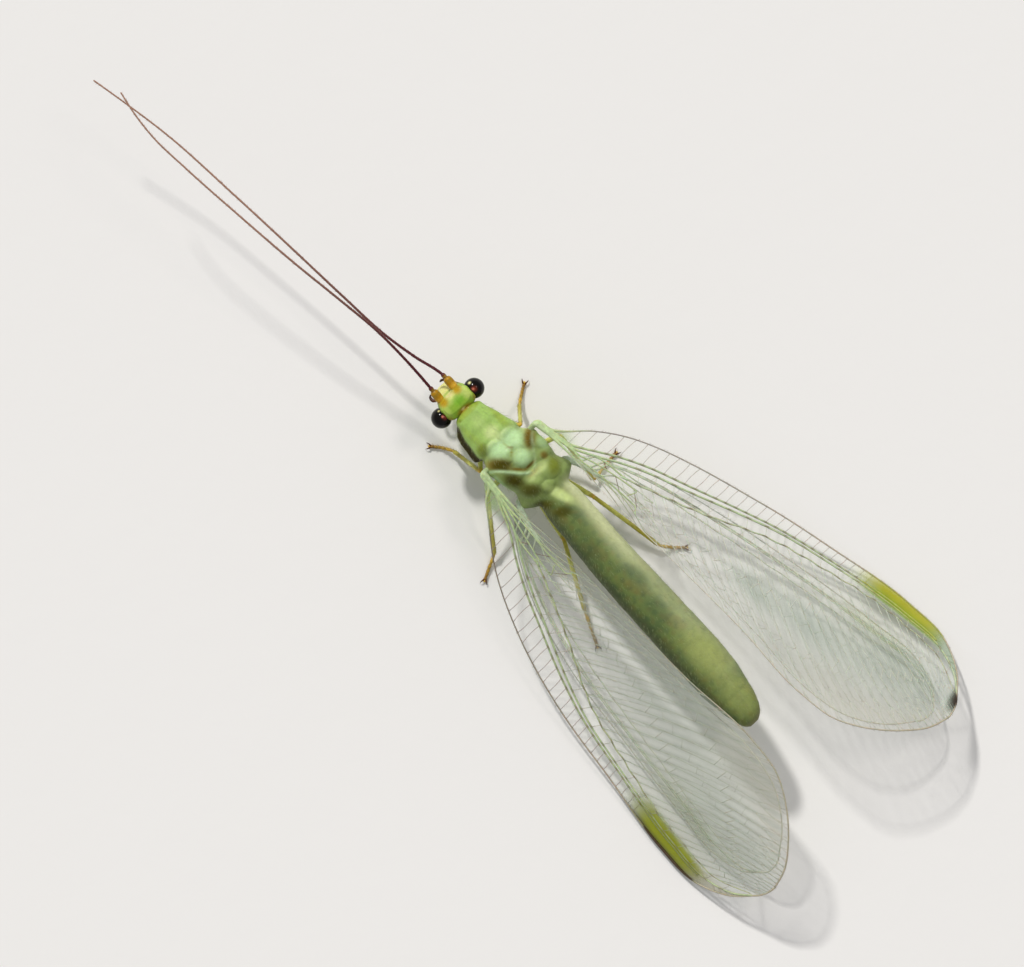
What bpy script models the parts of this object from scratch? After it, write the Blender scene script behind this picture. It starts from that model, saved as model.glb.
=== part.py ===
"""A green lacewing that rests on a flat surface, at life size, as closed solids.

Lengths are in millimetres and become metres where a mesh is made.
Places are (x, y, z): x to the insect's own left, y towards its tail, z up from the floor.
They are measured from the point between the eyes, and ORIGIN moves them to the middle of the footprint.
"""

import math

import bmesh
import bpy
import numpy as np
from mathutils import Matrix, Vector

MM = 0.001
ORIGIN = Vector((-0.38, 1.17, 0.0))

# Clearance between pieces that meet
GAP = 0.10

# Sides of the body's cross-sections, and how square they are: 2 is an ellipse
BODY_SIDES = 24
BODY_SQUARENESS = 2.4
PLATE_SQUARENESS = 2.9
HEAD_SQUARENESS = 2.3
ABDOMEN_SQUARENESS = 2.1

# The body's midline seen from above: (y, x)
MIDLINE = (
    (-1.0, 0.05), (0.0, 0.0), (0.7, 0.02), (1.6, -0.04), (2.4, -0.13), (3.4, -0.18),
    (4.5, -0.14), (6.0, -0.05), (8.0, 0.0), (10.0, 0.03), (11.2, 0.06), (12.3, 0.20),
)

# Head, from the crown down: (z, half width, front y, rear y)
HEAD_SECTIONS = (
    (2.42, 0.14, -0.10, 0.06),
    (2.36, 0.32, -0.20, 0.16),
    (2.22, 0.47, -0.28, 0.23),
    (2.00, 0.52, -0.31, 0.25),
    (1.80, 0.52, -0.37, 0.25),
    (1.60, 0.48, -0.48, 0.22),
    (1.44, 0.40, -0.56, 0.12),
    (1.28, 0.31, -0.61, -0.05),
    (1.20, 0.25, -0.60, -0.12),
    (1.14, 0.27, -0.64, -0.16),
    (1.02, 0.22, -0.62, -0.24),
    (0.96, 0.13, -0.56, -0.32),
)
HEAD_MIDDLE = 0.03
HEAD_SIDES = 20
EYE_CENTRE = (0.63, 0.0, 1.94)
EYE_RADII = (0.29, 0.29, 0.33)
EYE_SKEW = 0.02
EYE_SEAT = 0.46
EYE_SIDES = 16
EYE_RINGS = (0.0, 0.25, 0.5, 0.7, 0.85, 0.95, 0.99)

# Mouthparts: paths of mandible, maxillary palp and labial palp, with the radius at each point
MANDIBLE = ((0.17, -0.48, 1.05), (0.17, -0.54, 0.88), (0.07, -0.56, 0.74))
MANDIBLE_RADII = (0.12, 0.10, 0.04)
PALP_LEFT = ((0.20, -0.42, 1.12), (0.38, -0.50, 1.04), (0.48, -0.60, 0.98), (0.44, -0.70, 0.88))
PALP_RIGHT = ((-0.14, -0.42, 1.12), (-0.26, -0.58, 1.04), (-0.18, -0.72, 0.98), (-0.06, -0.78, 0.88))
PALP_RADII = (0.12, 0.12, 0.11, 0.07)
LABIAL_PALP = ((0.12, -0.34, 1.02), (0.20, -0.34, 0.84), (0.16, -0.48, 0.66))
LABIAL_PALP_RADII = (0.11, 0.10, 0.06)
MOUTHPART_SIDES = 8

# Antennae: the scape starts at the brow, and the long flagellum keeps close to 13 mm
ANTENNA_SIDES = 8
ANTENNA_RINGS = 34
SCAPE_LENGTH = 0.36
SCAPE_RADIUS = 0.235
FLAGELLUM_RADIUS = 0.23
FLAGELLUM_TIP_RADIUS = 0.13
ANTENNA_LEFT = (
    (0.335, -0.41, 2.08), (0.32, -0.80, 2.22), (0.29, -1.80, 2.56), (0.30, -3.00, 2.84), (0.44, -4.30, 3.10),
    (0.66, -6.00, 3.42), (0.86, -8.00, 3.72), (1.03, -10.0, 3.93), (1.09, -11.2, 4.01), (1.02, -12.0, 4.05),
    (0.88, -12.75, 4.08),
)
ANTENNA_RIGHT = (
    (-0.19, -0.41, 2.02), (-0.21, -0.80, 2.02), (0.00, -1.80, 1.99), (0.18, -2.75, 1.98), (0.31, -4.30, 2.00),
    (0.41, -6.10, 2.10), (0.56, -8.50, 2.30), (0.77, -11.1, 2.53), (1.00, -12.5, 2.69), (1.18, -13.55, 2.80),
)

# Body sections: (y, half width, bottom z, top z)
PROTHORAX_SECTIONS = (
    (0.35, 0.26, 1.72, 2.20),
    (0.40, 0.38, 1.66, 2.30),
    (0.55, 0.49, 1.62, 2.38),
    (0.90, 0.61, 1.58, 2.44),
    (1.15, 0.65, 1.55, 2.42),
    (1.32, 0.69, 1.53, 2.48),
    (1.48, 0.72, 1.54, 2.46),
    (1.56, 0.62, 1.62, 2.38),
)
THORAX_SECTIONS = (
    (1.66, 0.58, 1.55, 2.34),
    (1.74, 0.70, 1.38, 2.50),
    (1.95, 0.82, 1.18, 2.66),
    (2.30, 0.86, 1.06, 2.74),
    (2.70, 0.84, 1.06, 2.68),
    (2.92, 0.77, 1.12, 2.50),
    (3.15, 0.80, 1.14, 2.56),
    (3.42, 0.76, 1.26, 2.46),
    (3.62, 0.62, 1.46, 2.32),
)
THORAX_HALF_WIDTH = 0.86
LOBES_FROM_Z = 2.0
LOBES_FULL_Z = 2.4
SEATS_FROM_X = 0.6

# Lobes of the thorax's back: (x from the midline, y, spread in x, spread in y, height)
THORAX_LOBES = (
    (0.34, 2.02, 0.26, 0.30, 0.17),
    (-0.34, 2.02, 0.26, 0.30, 0.17),
    (0.0, 1.82, 0.18, 0.16, 0.07),
    (0.0, 2.60, 0.26, 0.19, 0.20),
    (0.36, 3.18, 0.22, 0.20, 0.12),
    (-0.36, 3.18, 0.22, 0.20, 0.12),
    (0.0, 3.38, 0.16, 0.12, 0.12),
)

# Raised seats of the wings on the thorax's sides: (y, z, spread in y, spread in z, height)
WING_SEATS = (
    (2.50, 2.46, 0.40, 0.26, 0.13),
    (3.36, 1.74, 0.24, 0.28, 0.16),
)

# Abdomen: its ends, the number of its rings, and its outline as (y, radius, centre z)
ABDOMEN_OUTLINE = (
    (3.72, 0.52, 1.92), (3.95, 0.60, 1.93), (5.3, 0.65, 1.96), (7.2, 0.70, 2.05),
    (9.8, 0.71, 2.20), (11.1, 0.63, 2.32), (11.8, 0.46, 2.38), (12.1, 0.30, 2.40), (12.2, 0.16, 2.40),
)
ABDOMEN_SEGMENTS = 9
ABDOMEN_GROOVE = 0.045
ABDOMEN_GROOVE_SHARE = 0.16
ABDOMEN_RING_PLACES = (0.0, 0.18, 0.5, 0.86)
ABDOMEN_HEIGHT_RATIO = 1.04

# Forewing seen from above: costal and hind margin as (backward, outward) from the hinge
FOREWING_COSTA = (
    (-0.12, 0.0), (0.80, 0.69), (1.94, 1.52), (3.92, 2.41), (6.12, 2.98),
    (8.40, 3.29), (10.88, 3.60), (12.30, 3.56), (13.20, 3.12), (13.74, 2.54),
)
FOREWING_HIND = (
    (0.92, -0.01), (2.5, -0.12), (5.0, -0.15), (8.0, -0.20), (10.4, -0.34),
    (11.6, -0.18), (12.45, 0.27), (13.2, 0.90), (13.72, 1.56), (13.88, 2.05),
)
HINDWING_COSTA = (
    (1.10, 0.0), (2.0, 0.72), (3.4, 1.42), (5.5, 1.98), (8.0, 2.28),
    (10.5, 2.52), (12.1, 2.62), (13.0, 2.36), (13.45, 1.92),
)
HINDWING_HIND = (
    (1.70, 0.0), (3.5, 0.14), (6.0, 0.10), (8.5, 0.0), (10.5, -0.12),
    (11.8, 0.12), (12.75, 0.70), (13.4, 1.45),
)
# The right wing's front margin is a little straighter: how far in, where, and over what length
FRONT_DENT = 0.24
DENT_BACK = 5.0
DENT_LENGTH = 3.0
WING_COLUMNS = 28

# Where the wings hinge, how they slope like a roof, and the bulge between their margins
HINGE_Y = 2.06
HINGE_MIDDLE_Y = 2.56
SEAT_DEPTH = 0.10
HINGE_Z = 2.35
WING_RISE = 0.046
WING_SLOPE = 0.76
WING_CAMBER = 0.25
CAMBER_MIDDLE = 1.6
CAMBER_SPAN = 2.2
WING_SPREAD_RIGHT = 2.4
WING_THICKNESS = 0.60
HINDWING_DROP = 0.84

# Main veins: ridges on the membrane, by their place between the margins from root to tip
VEIN_HEIGHT = 0.10
VEIN_HALF_WIDTH = 0.022
MAIN_VEINS = (
    ((0.0, 0.30), (0.3, 0.25), (0.7, 0.15), (1.0, 0.12)),
    ((0.0, 0.44), (0.3, 0.36), (0.7, 0.24), (1.0, 0.24)),
    ((0.0, 0.64), (0.3, 0.55), (0.7, 0.50), (1.0, 0.50)),
    ((0.0, 0.82), (0.3, 0.74), (0.7, 0.71), (1.0, 0.74)),
)
RIM_THICKNESS = 0.62
FRONT_ROW = 0.045
REAR_ROW = 0.93

# Legs: hip, trochanter, knee, ankle, mid tarsus and tip of each
LEG_SIDES = 8
COXA_RADIUS = 0.25
FEMUR_RADIUS = 0.245
TIBIA_RADIUS = 0.225
TARSUS_RADIUS = 0.20
TOE_RADIUS = 0.17
CLAW_LENGTH = 0.26
CLAW_ANGLE = 28
CLAW_RADII = (0.11, 0.10, 0.04)
CLAW_TIP_HEIGHT = 0.05
CLAW_ROOT = 0.10
END_REACH = 0.55
END_SHRINK = 0.6
FEMUR_SWELL = 1.08
LEGS = {
    "leg_fore_left": (
        (0.22, 1.22, 1.42), (0.38, 1.22, 0.98), (0.96, 1.82, 1.55),
        (1.06, 0.88, 0.42), (1.22, 0.60, 0.20), (1.44, 0.34, 0.17),
    ),
    "leg_fore_right": (
        (-0.32, 1.22, 1.42), (-0.48, 1.22, 0.98), (-0.90, 1.66, 1.46),
        (-1.18, 1.21, 0.42), (-1.40, 1.06, 0.20), (-1.68, 0.88, 0.17),
    ),
    "leg_mid_left": (
        (0.21, 2.35, 0.94), (0.34, 2.35, 0.70), (1.16, 2.38, 1.45),
        (2.22, 3.77, 0.40), (2.56, 3.93, 0.20), (2.92, 4.11, 0.17),
    ),
    "leg_mid_right": (
        (-0.49, 2.35, 0.94), (-0.62, 2.35, 0.70), (-1.42, 2.62, 1.32),
        (-1.22, 4.20, 0.40), (-1.70, 4.12, 0.20), (-2.20, 4.07, 0.17),
    ),
    "leg_hind_left": (
        (0.14, 3.20, 1.02), (0.28, 3.26, 0.76), (0.56, 4.80, 0.92),
        (1.46, 6.62, 0.40), (1.68, 7.12, 0.20), (1.92, 7.64, 0.17),
    ),
    "leg_hind_right": (
        (-0.50, 3.20, 1.02), (-0.64, 3.26, 0.76), (-0.92, 4.50, 1.08),
        (-1.30, 6.80, 0.40), (-1.54, 7.10, 0.20), (-1.80, 7.34, 0.17),
    ),
}


def blend(stations, at):
    """Value of a smooth curve through stations (place, values...) at one place."""
    table = np.array(stations, dtype=float)
    places = table[:, 0]
    values = table[:, 1:]
    slopes = np.gradient(values, places, axis=0)
    at = min(max(at, places[0]), places[-1])
    k = min(int(np.searchsorted(places, at, side="right")) - 1, len(places) - 2)
    step = places[k + 1] - places[k]
    t = (at - places[k]) / step
    start = (1 + 2 * t) * (1 - t) ** 2 * values[k] + t * (1 - t) ** 2 * step * slopes[k]
    end = t * t * (3 - 2 * t) * values[k + 1] + t * t * (t - 1) * step * slopes[k + 1]
    return start + end


def spread_evenly(points, count):
    """Points at even distances along a smooth curve through the given ones."""
    corners = np.array(points, dtype=float)
    steps = np.linalg.norm(np.diff(corners, axis=0), axis=1)
    stations = np.column_stack((np.concatenate(([0.0], np.cumsum(steps))), corners))
    fine = np.array([blend(stations, at) for at in np.linspace(0.0, stations[-1, 0], 12 * count)])
    travel = np.concatenate(([0.0], np.cumsum(np.linalg.norm(np.diff(fine, axis=0), axis=1))))
    wanted = np.linspace(0.0, travel[-1], count)
    return np.column_stack([np.interp(wanted, travel, fine[:, axis]) for axis in range(fine.shape[1])])


def middle(y):
    """The body's midline x at y."""
    return float(blend(MIDLINE, y)[0])


def bump(distances, spreads, height):
    """A smooth hill: its height at these distances from its top."""
    return height * math.exp(-sum((d / s) ** 2 for d, s in zip(distances, spreads)))


def superellipse(angle, squareness):
    """Point at an angle on a rounded square of half size 1."""
    c, s = math.cos(angle), math.sin(angle)
    power = 2.0 / squareness
    return math.copysign(abs(c) ** power, c), math.copysign(abs(s) ** power, s)


def make_material(name, colour, roughness, alpha=1.0):
    material = bpy.data.materials.get(name)
    if material:
        return material
    material = bpy.data.materials.new(name)
    material.use_nodes = True
    shader = material.node_tree.nodes["Principled BSDF"]
    shader.inputs["Base Color"].default_value = (*colour, 1.0)
    shader.inputs["Roughness"].default_value = roughness
    shader.inputs["Metallic"].default_value = 0.0
    shader.inputs["Alpha"].default_value = alpha
    return material


def body_green():
    return make_material("body green", (0.33, 0.50, 0.16), 0.45)


def abdomen_green():
    return make_material("abdomen green", (0.30, 0.42, 0.13), 0.5)


def leg_olive():
    return make_material("leg olive", (0.36, 0.38, 0.14), 0.5)


def flagellum_brown():
    return make_material("flagellum brown", (0.16, 0.06, 0.04), 0.55)


def eye_bronze():
    return make_material("eye bronze", (0.03, 0.02, 0.015), 0.15)


def wing_membrane():
    return make_material("wing membrane", (0.72, 0.78, 0.68), 0.2, 0.4)


def add_object(name, points, faces, material):
    """A mesh object from points in millimetres, triangulated, with its faces pointing out."""
    mesh = bpy.data.meshes.new(name)
    mesh.from_pydata([(Vector(p) - ORIGIN) * MM for p in points], [], faces)
    shape = bmesh.new()
    shape.from_mesh(mesh)
    bmesh.ops.triangulate(shape, faces=[f for f in shape.faces if len(f.verts) > 4])
    bmesh.ops.recalc_face_normals(shape, faces=shape.faces)
    shape.to_mesh(mesh)
    shape.free()
    mesh.materials.append(material)
    piece = bpy.data.objects.new(name, mesh)
    bpy.context.scene.collection.objects.link(piece)
    return piece


def finish_piece(piece):
    """Triangles throughout, shaded smooth except at edges."""
    shape = bmesh.new()
    shape.from_mesh(piece.data)
    bmesh.ops.triangulate(shape, faces=shape.faces)
    shape.to_mesh(piece.data)
    shape.free()
    piece.data.shade_smooth()
    piece.data.set_sharp_from_angle(angle=math.radians(40))
    return piece


def loft(rings):
    """Points and faces of a closed surface through rings that have the same number of points."""
    sides = len(rings[0])
    points = [p for ring in rings for p in ring]
    faces = []
    for r in range(len(rings) - 1):
        for k in range(sides):
            nxt = (k + 1) % sides
            faces.append((r * sides + k, r * sides + nxt, (r + 1) * sides + nxt, (r + 1) * sides + k))
    faces.append(tuple(range(sides)))
    faces.append(tuple((len(rings) - 1) * sides + k for k in range(sides)))
    return points, faces


def tube_rings(path, radii, sides):
    """Rings square to a path, kept from twisting."""
    path = [Vector(p) for p in path]
    rings = []
    for i, centre in enumerate(path):
        along = (path[min(i + 1, len(path) - 1)] - path[max(i - 1, 0)]).normalized()
        across = along.cross(Vector((0, 0, 1)))
        if across.length < 0.1:
            across = along.cross(Vector((0, 1, 0)))
        across.normalize()
        upward = across.cross(along)
        rings.append([
            centre + float(radii[i]) * (math.cos(a) * across + math.sin(a) * upward)
            for a in (2 * math.pi * k / sides for k in range(sides))
        ])
    return rings


def rod(name, start, end, start_radius, end_radius, material, swell=1.0):
    """A limb's length with rounded ends that reach a little past both joints."""
    start, end = Vector(start), Vector(end)
    along = (end - start).normalized()
    path = [
        start - END_REACH * start_radius * along, start,
        start.lerp(end, 0.4), end, end + END_REACH * end_radius * along,
    ]
    mid_radius = swell * (0.6 * start_radius + 0.4 * end_radius)
    radii = [END_SHRINK * start_radius, start_radius, mid_radius, end_radius, END_SHRINK * end_radius]
    points, faces = loft(tube_rings(path, radii, LEG_SIDES))
    return add_object(name, above_floor(points), faces, material)


def above_floor(points):
    """Points below the floor are brought up to it, which leaves a flat there."""
    return [Vector((p[0], p[1], max(p[2], 0.0))) for p in points]


def fuse(name, pieces):
    """One closed body from pieces that overlap, keeping its largest surface."""
    body, rest = pieces[0], pieces[1:]
    group = bpy.data.collections.new(name + " pieces")
    bpy.context.scene.collection.children.link(group)
    for piece in rest:
        bpy.context.scene.collection.objects.unlink(piece)
        group.objects.link(piece)
    union = body.modifiers.new("union", "BOOLEAN")
    union.operation = "UNION"
    union.operand_type = "COLLECTION"
    union.collection = group
    union.solver = "EXACT"
    depsgraph = bpy.context.evaluated_depsgraph_get()
    mesh = bpy.data.meshes.new_from_object(body.evaluated_get(depsgraph))
    body.modifiers.clear()
    body.data = mesh
    for piece in rest:
        bpy.data.objects.remove(piece)
    bpy.data.collections.remove(group)
    keep_largest(body)
    body.name = name
    return finish_piece(body)


def keep_largest(piece):
    """Removes every surface of a mesh but the one that spans most."""
    shape = bmesh.new()
    shape.from_mesh(piece.data)
    bmesh.ops.remove_doubles(shape, verts=shape.verts, dist=1e-7)
    left = set(shape.verts)
    surfaces = []
    while left:
        front = [left.pop()]
        surface = set(front)
        while front:
            vert = front.pop()
            for edge in vert.link_edges:
                other = edge.other_vert(vert)
                if other in left:
                    left.discard(other)
                    surface.add(other)
                    front.append(other)
        surfaces.append(surface)
    surfaces.sort(key=span)
    for surface in surfaces[:-1]:
        bmesh.ops.delete(shape, geom=list(surface), context="VERTS")
    shape.to_mesh(piece.data)
    shape.free()


def span(surface):
    """The diagonal of the box round some vertices."""
    places = np.array([v.co for v in surface])
    return float(np.linalg.norm(places.max(axis=0) - places.min(axis=0)))


def mirrored(path):
    return tuple((-x, y, z) for x, y, z in path)


def head():
    """Skull from crown to labrum, with flat seats for the eyes, and the mouthparts fused on."""
    rings = []
    for z, half_width, front, rear in HEAD_SECTIONS:
        ring = []
        for k in range(HEAD_SIDES):
            across, along = superellipse(2 * math.pi * k / HEAD_SIDES, HEAD_SQUARENESS)
            x = max(-EYE_SEAT, min(EYE_SEAT, half_width * across))
            ring.append((x + HEAD_MIDDLE, (front + rear) / 2 + (rear - front) / 2 * along, z))
        rings.append(ring)
    points, faces = loft(rings)
    pieces = [add_object("head", points, faces, body_green())]
    for path, radii in (
        (MANDIBLE, MANDIBLE_RADII), (mirrored(MANDIBLE), MANDIBLE_RADII),
        (PALP_LEFT, PALP_RADII), (PALP_RIGHT, PALP_RADII),
        (LABIAL_PALP, LABIAL_PALP_RADII), (mirrored(LABIAL_PALP), LABIAL_PALP_RADII),
    ):
        points, faces = loft(tube_rings(path, radii, MOUTHPART_SIDES))
        pieces.append(add_object("mouthpart", points, faces, body_green()))
    return fuse("head", pieces)


def eye(name, side):
    """A bulging eye with a flat back that faces the head's seat."""
    back = EYE_SEAT + GAP
    far = EYE_CENTRE[0] + EYE_RADII[0]
    rings = []
    for t in EYE_RINGS:
        out = back + t * (far - back)
        share = math.sqrt(max(0.0, 1 - ((out - EYE_CENTRE[0]) / EYE_RADII[0]) ** 2))
        rings.append([
            (
                side * out + HEAD_MIDDLE,
                EYE_CENTRE[1] - side * EYE_SKEW + share * EYE_RADII[1] * math.cos(a),
                EYE_CENTRE[2] + share * EYE_RADII[2] * math.sin(a),
            )
            for a in (2 * math.pi * k / EYE_SIDES for k in range(EYE_SIDES))
        ])
    points, faces = loft(rings)
    return finish_piece(add_object(name, points, faces, eye_bronze()))


def antenna(name, route):
    """Scape and flagellum as one tapering tube, with a waist where they meet."""
    path = spread_evenly(route, ANTENNA_RINGS)
    travel = np.concatenate(([0.0], np.cumsum(np.linalg.norm(np.diff(path, axis=0), axis=1))))
    start = [blend(np.column_stack((travel, path)), at) for at in (0.0, 0.5 * SCAPE_LENGTH, SCAPE_LENGTH)]
    path = np.vstack((start, path[travel > SCAPE_LENGTH + 0.15]))
    taper = np.linspace(FLAGELLUM_RADIUS, FLAGELLUM_TIP_RADIUS, len(path) - 3)
    radii = [0.8 * SCAPE_RADIUS, SCAPE_RADIUS, 0.85 * SCAPE_RADIUS, *(0.9 * taper[:1]), *taper[1:]]
    radii[-1] = 0.5 * FLAGELLUM_TIP_RADIUS
    points, faces = loft(tube_rings(path, radii, ANTENNA_SIDES))
    return finish_piece(add_object(name, points, faces, flagellum_brown()))


def body_ring(y, half_width, bottom, top, squareness):
    """One cross-section of the body, square to y."""
    ring = []
    for k in range(BODY_SIDES):
        across, up = superellipse(2 * math.pi * k / BODY_SIDES, squareness)
        ring.append((middle(y) + half_width * across, y, (bottom + top) / 2 + (top - bottom) / 2 * up))
    return ring


def prothorax():
    """The neck plate between head and wings, wider behind, with one furrow across."""
    first, last = PROTHORAX_SECTIONS[0][0], PROTHORAX_SECTIONS[-1][0]
    rings = []
    for y in sorted({*np.linspace(first, last, 13), *(row[0] for row in PROTHORAX_SECTIONS)}):
        half_width, bottom, top = blend(PROTHORAX_SECTIONS, y)
        rings.append(body_ring(y, half_width, bottom, top, PLATE_SQUARENESS))
    points, faces = loft(rings)
    return finish_piece(add_object("prothorax", points, faces, body_green()))


def thorax_point(x, y, z):
    """A point of the plain thorax moved out by the lobes of its back and by the seats of its wings."""
    off = x - middle(y)
    rise = sum(bump((off - at_x, y - at_y), (wide, long), high) for at_x, at_y, wide, long, high in THORAX_LOBES)
    topside = max(0.0, min(1.0, (z - LOBES_FROM_Z) / (LOBES_FULL_Z - LOBES_FROM_Z)))
    push = sum(bump((y - at_y, z - at_z), (long, tall), high) for at_y, at_z, long, tall, high in WING_SEATS)
    sideways = min(1.0, abs(off) / SEATS_FROM_X) ** 3
    return (x + math.copysign(push * sideways, off), y, z + rise * topside)


def thorax():
    """The two winged segments of the thorax, with shield lobes, scutellum and wing seats."""
    first, last = THORAX_SECTIONS[0][0], THORAX_SECTIONS[-1][0]
    rings = []
    for y in np.linspace(first, last, 20):
        half_width, bottom, top = blend(THORAX_SECTIONS, y)
        plain = body_ring(y, half_width, bottom, top, BODY_SQUARENESS)
        rings.append([thorax_point(*p) for p in plain])
    points, faces = loft(rings)
    return finish_piece(add_object("thorax", points, faces, body_green()))


def abdomen():
    """A long body of rings, each a little narrower where it meets the next."""
    first, last = ABDOMEN_OUTLINE[0][0], ABDOMEN_OUTLINE[-1][0]
    length = (last - first) / ABDOMEN_SEGMENTS
    places = {first, last, last - 0.1}
    for n in range(ABDOMEN_SEGMENTS):
        places.update(first + (n + part) * length for part in ABDOMEN_RING_PLACES)
    rings = []
    for y in sorted(places):
        radius, centre = blend(ABDOMEN_OUTLINE, y)
        phase = ((y - first) / length) % 1.0
        radius -= ABDOMEN_GROOVE * max(0.0, 1 - min(phase, 1 - phase) / ABDOMEN_GROOVE_SHARE) * min(1.0, radius / 0.5)
        height = ABDOMEN_HEIGHT_RATIO * radius
        rings.append(body_ring(y, radius, centre - height, centre + height, ABDOMEN_SQUARENESS))
    points, faces = loft(rings)
    return finish_piece(add_object("abdomen", points, faces, abdomen_green()))


def wing_rows(u):
    """Places of a wing's rows between the costal margin at 0 and the hind one at 1, and which are veins."""
    rows = [(0.0, True), (FRONT_ROW, False)]
    for vein in MAIN_VEINS:
        place = float(blend(vein, u)[0])
        rows += [(place - VEIN_HALF_WIDTH, False), (place, True), (place + VEIN_HALF_WIDTH, False)]
    return [*rows, (REAR_ROW, False), (1.0, False)]


def wing_height(back, out):
    """Height of the wings' middle surface over a place seen from above."""
    camber = WING_CAMBER * (1 - ((out - CAMBER_MIDDLE) / CAMBER_SPAN) ** 2)
    return HINGE_Z + WING_RISE * back - WING_SLOPE * out + camber


def wing(name, side, costa, hind, drop, material):
    """A thin curved plate with its main veins raised in its upper face.

    Both faces use the same grid and are split alike, so that they never cross.
    """
    front = spread_evenly(costa, WING_COLUMNS)
    rear = spread_evenly(hind, WING_COLUMNS)
    if side < 0:
        front[:, 1] -= FRONT_DENT * np.exp(-((front[:, 0] - DENT_BACK) / DENT_LENGTH) ** 2)
    hinge_x = middle(HINGE_MIDDLE_Y) + side * (THORAX_HALF_WIDTH + SEAT_DEPTH + GAP)
    turn = math.radians(WING_SPREAD_RIGHT if side < 0 else 0.0)
    upper, lower = [], []
    for i in range(WING_COLUMNS):
        rows = wing_rows(i / (WING_COLUMNS - 1))
        for j, (place, is_vein) in enumerate(rows):
            back, out = front[i] + (rear[i] - front[i]) * place
            x = hinge_x + side * (out * math.cos(turn) + back * math.sin(turn))
            y = HINGE_Y + back * math.cos(turn) - out * math.sin(turn)
            z = wing_height(back, out) - drop
            at_rim = j in (0, len(rows) - 1) or i == WING_COLUMNS - 1
            half = WING_THICKNESS / 2 * (RIM_THICKNESS if at_rim else 1.0)
            raised = VEIN_HEIGHT if is_vein else 0.0
            upper.append((x, y, z + half + raised))
            lower.append((x, y, z - half))
    lower = above_floor(lower)
    faces = wing_faces(WING_COLUMNS, len(rows))
    return finish_piece(add_object(name, [*upper, *lower], faces, material))


def wing_faces(columns, rows):
    """Triangles of a plate whose upper points come first and whose lower points follow."""
    shift = columns * rows
    faces = []
    for i in range(columns - 1):
        for j in range(rows - 1):
            a = i * rows + j
            b, c, d = a + rows, a + rows + 1, a + 1
            faces += [(a, b, c), (a, c, d)]
            faces += [(shift + c, shift + b, shift + a), (shift + d, shift + c, shift + a)]
    rim = [i * rows for i in range(columns)]
    rim += [(columns - 1) * rows + j for j in range(1, rows)]
    rim += [i * rows + rows - 1 for i in range(columns - 2, -1, -1)]
    rim += list(range(rows - 2, 0, -1))
    for k, a in enumerate(rim):
        b = rim[(k + 1) % len(rim)]
        faces.append((a, a + shift, b + shift, b))
    return faces


def leg(name, joints):
    """Coxa, femur, tibia, a tarsus that lies on the floor, and two claws."""
    hip, trochanter, knee, ankle, mid_foot, tip = (Vector(p) for p in joints)
    olive = leg_olive()
    pieces = [
        rod("femur", trochanter, knee, 0.9 * FEMUR_RADIUS, TIBIA_RADIUS, olive, FEMUR_SWELL),
        coxa(hip, trochanter, olive),
        rod("tibia", knee, ankle, TIBIA_RADIUS, 0.95 * TARSUS_RADIUS, olive),
        rod("heel", ankle, mid_foot, TARSUS_RADIUS, TARSUS_RADIUS, olive),
        rod("toe", mid_foot, tip, TARSUS_RADIUS, TOE_RADIUS, olive),
    ]
    forward = (tip - mid_foot).normalized()
    for turn in (-CLAW_ANGLE, CLAW_ANGLE):
        reach = Matrix.Rotation(math.radians(turn), 3, "Z") @ forward
        end = tip + reach * (CLAW_LENGTH + CLAW_ROOT)
        path = (tip, tip + reach * (0.5 * CLAW_LENGTH + CLAW_ROOT), Vector((end.x, end.y, CLAW_TIP_HEIGHT)))
        points, faces = loft(tube_rings(path, CLAW_RADII, 6))
        pieces.append(add_object("claw", above_floor(points), faces, olive))
    return fuse(name, pieces)


def coxa(hip, trochanter, material):
    """The leg's first joint, cut flat on top where it faces the body's underside."""
    path = (hip, hip.lerp(trochanter, 0.5), trochanter, trochanter + 0.5 * COXA_RADIUS * (trochanter - hip).normalized())
    rings = tube_rings(path, (COXA_RADIUS, COXA_RADIUS, 0.92 * COXA_RADIUS, 0.5 * COXA_RADIUS), LEG_SIDES)
    rings[0] = [Vector((p.x, p.y, hip.z)) for p in rings[0]]
    points, faces = loft(rings)
    return add_object("coxa", points, faces, material)


def build():
    for old in list(bpy.data.objects):
        bpy.data.objects.remove(old)
    head()
    eye("eye_left", 1)
    eye("eye_right", -1)
    antenna("antenna_left", ANTENNA_LEFT)
    antenna("antenna_right", ANTENNA_RIGHT)
    prothorax()
    thorax()
    abdomen()
    for side, label in ((1, "left"), (-1, "right")):
        wing("forewing_" + label, side, FOREWING_COSTA, FOREWING_HIND, 0.0, wing_membrane())
        wing("hindwing_" + label, side, HINDWING_COSTA, HINDWING_HIND, HINDWING_DROP, wing_membrane())
    for name, joints in LEGS.items():
        leg(name, joints)


build()
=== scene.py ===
"""The looks of a green lacewing at rest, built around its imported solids.

Lengths are in millimetres and become metres where a mesh is made. Places are (x, y, z) as in the solids'
source: x to the insect's own left, y towards its tail, z up from the floor, all measured from the point
between the eyes. A place on a wing is (backward, outward) from its hinge, seen from above.
"""

import math

import bpy
import numpy as np
from mathutils import Matrix
from mathutils.kdtree import KDTree


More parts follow.
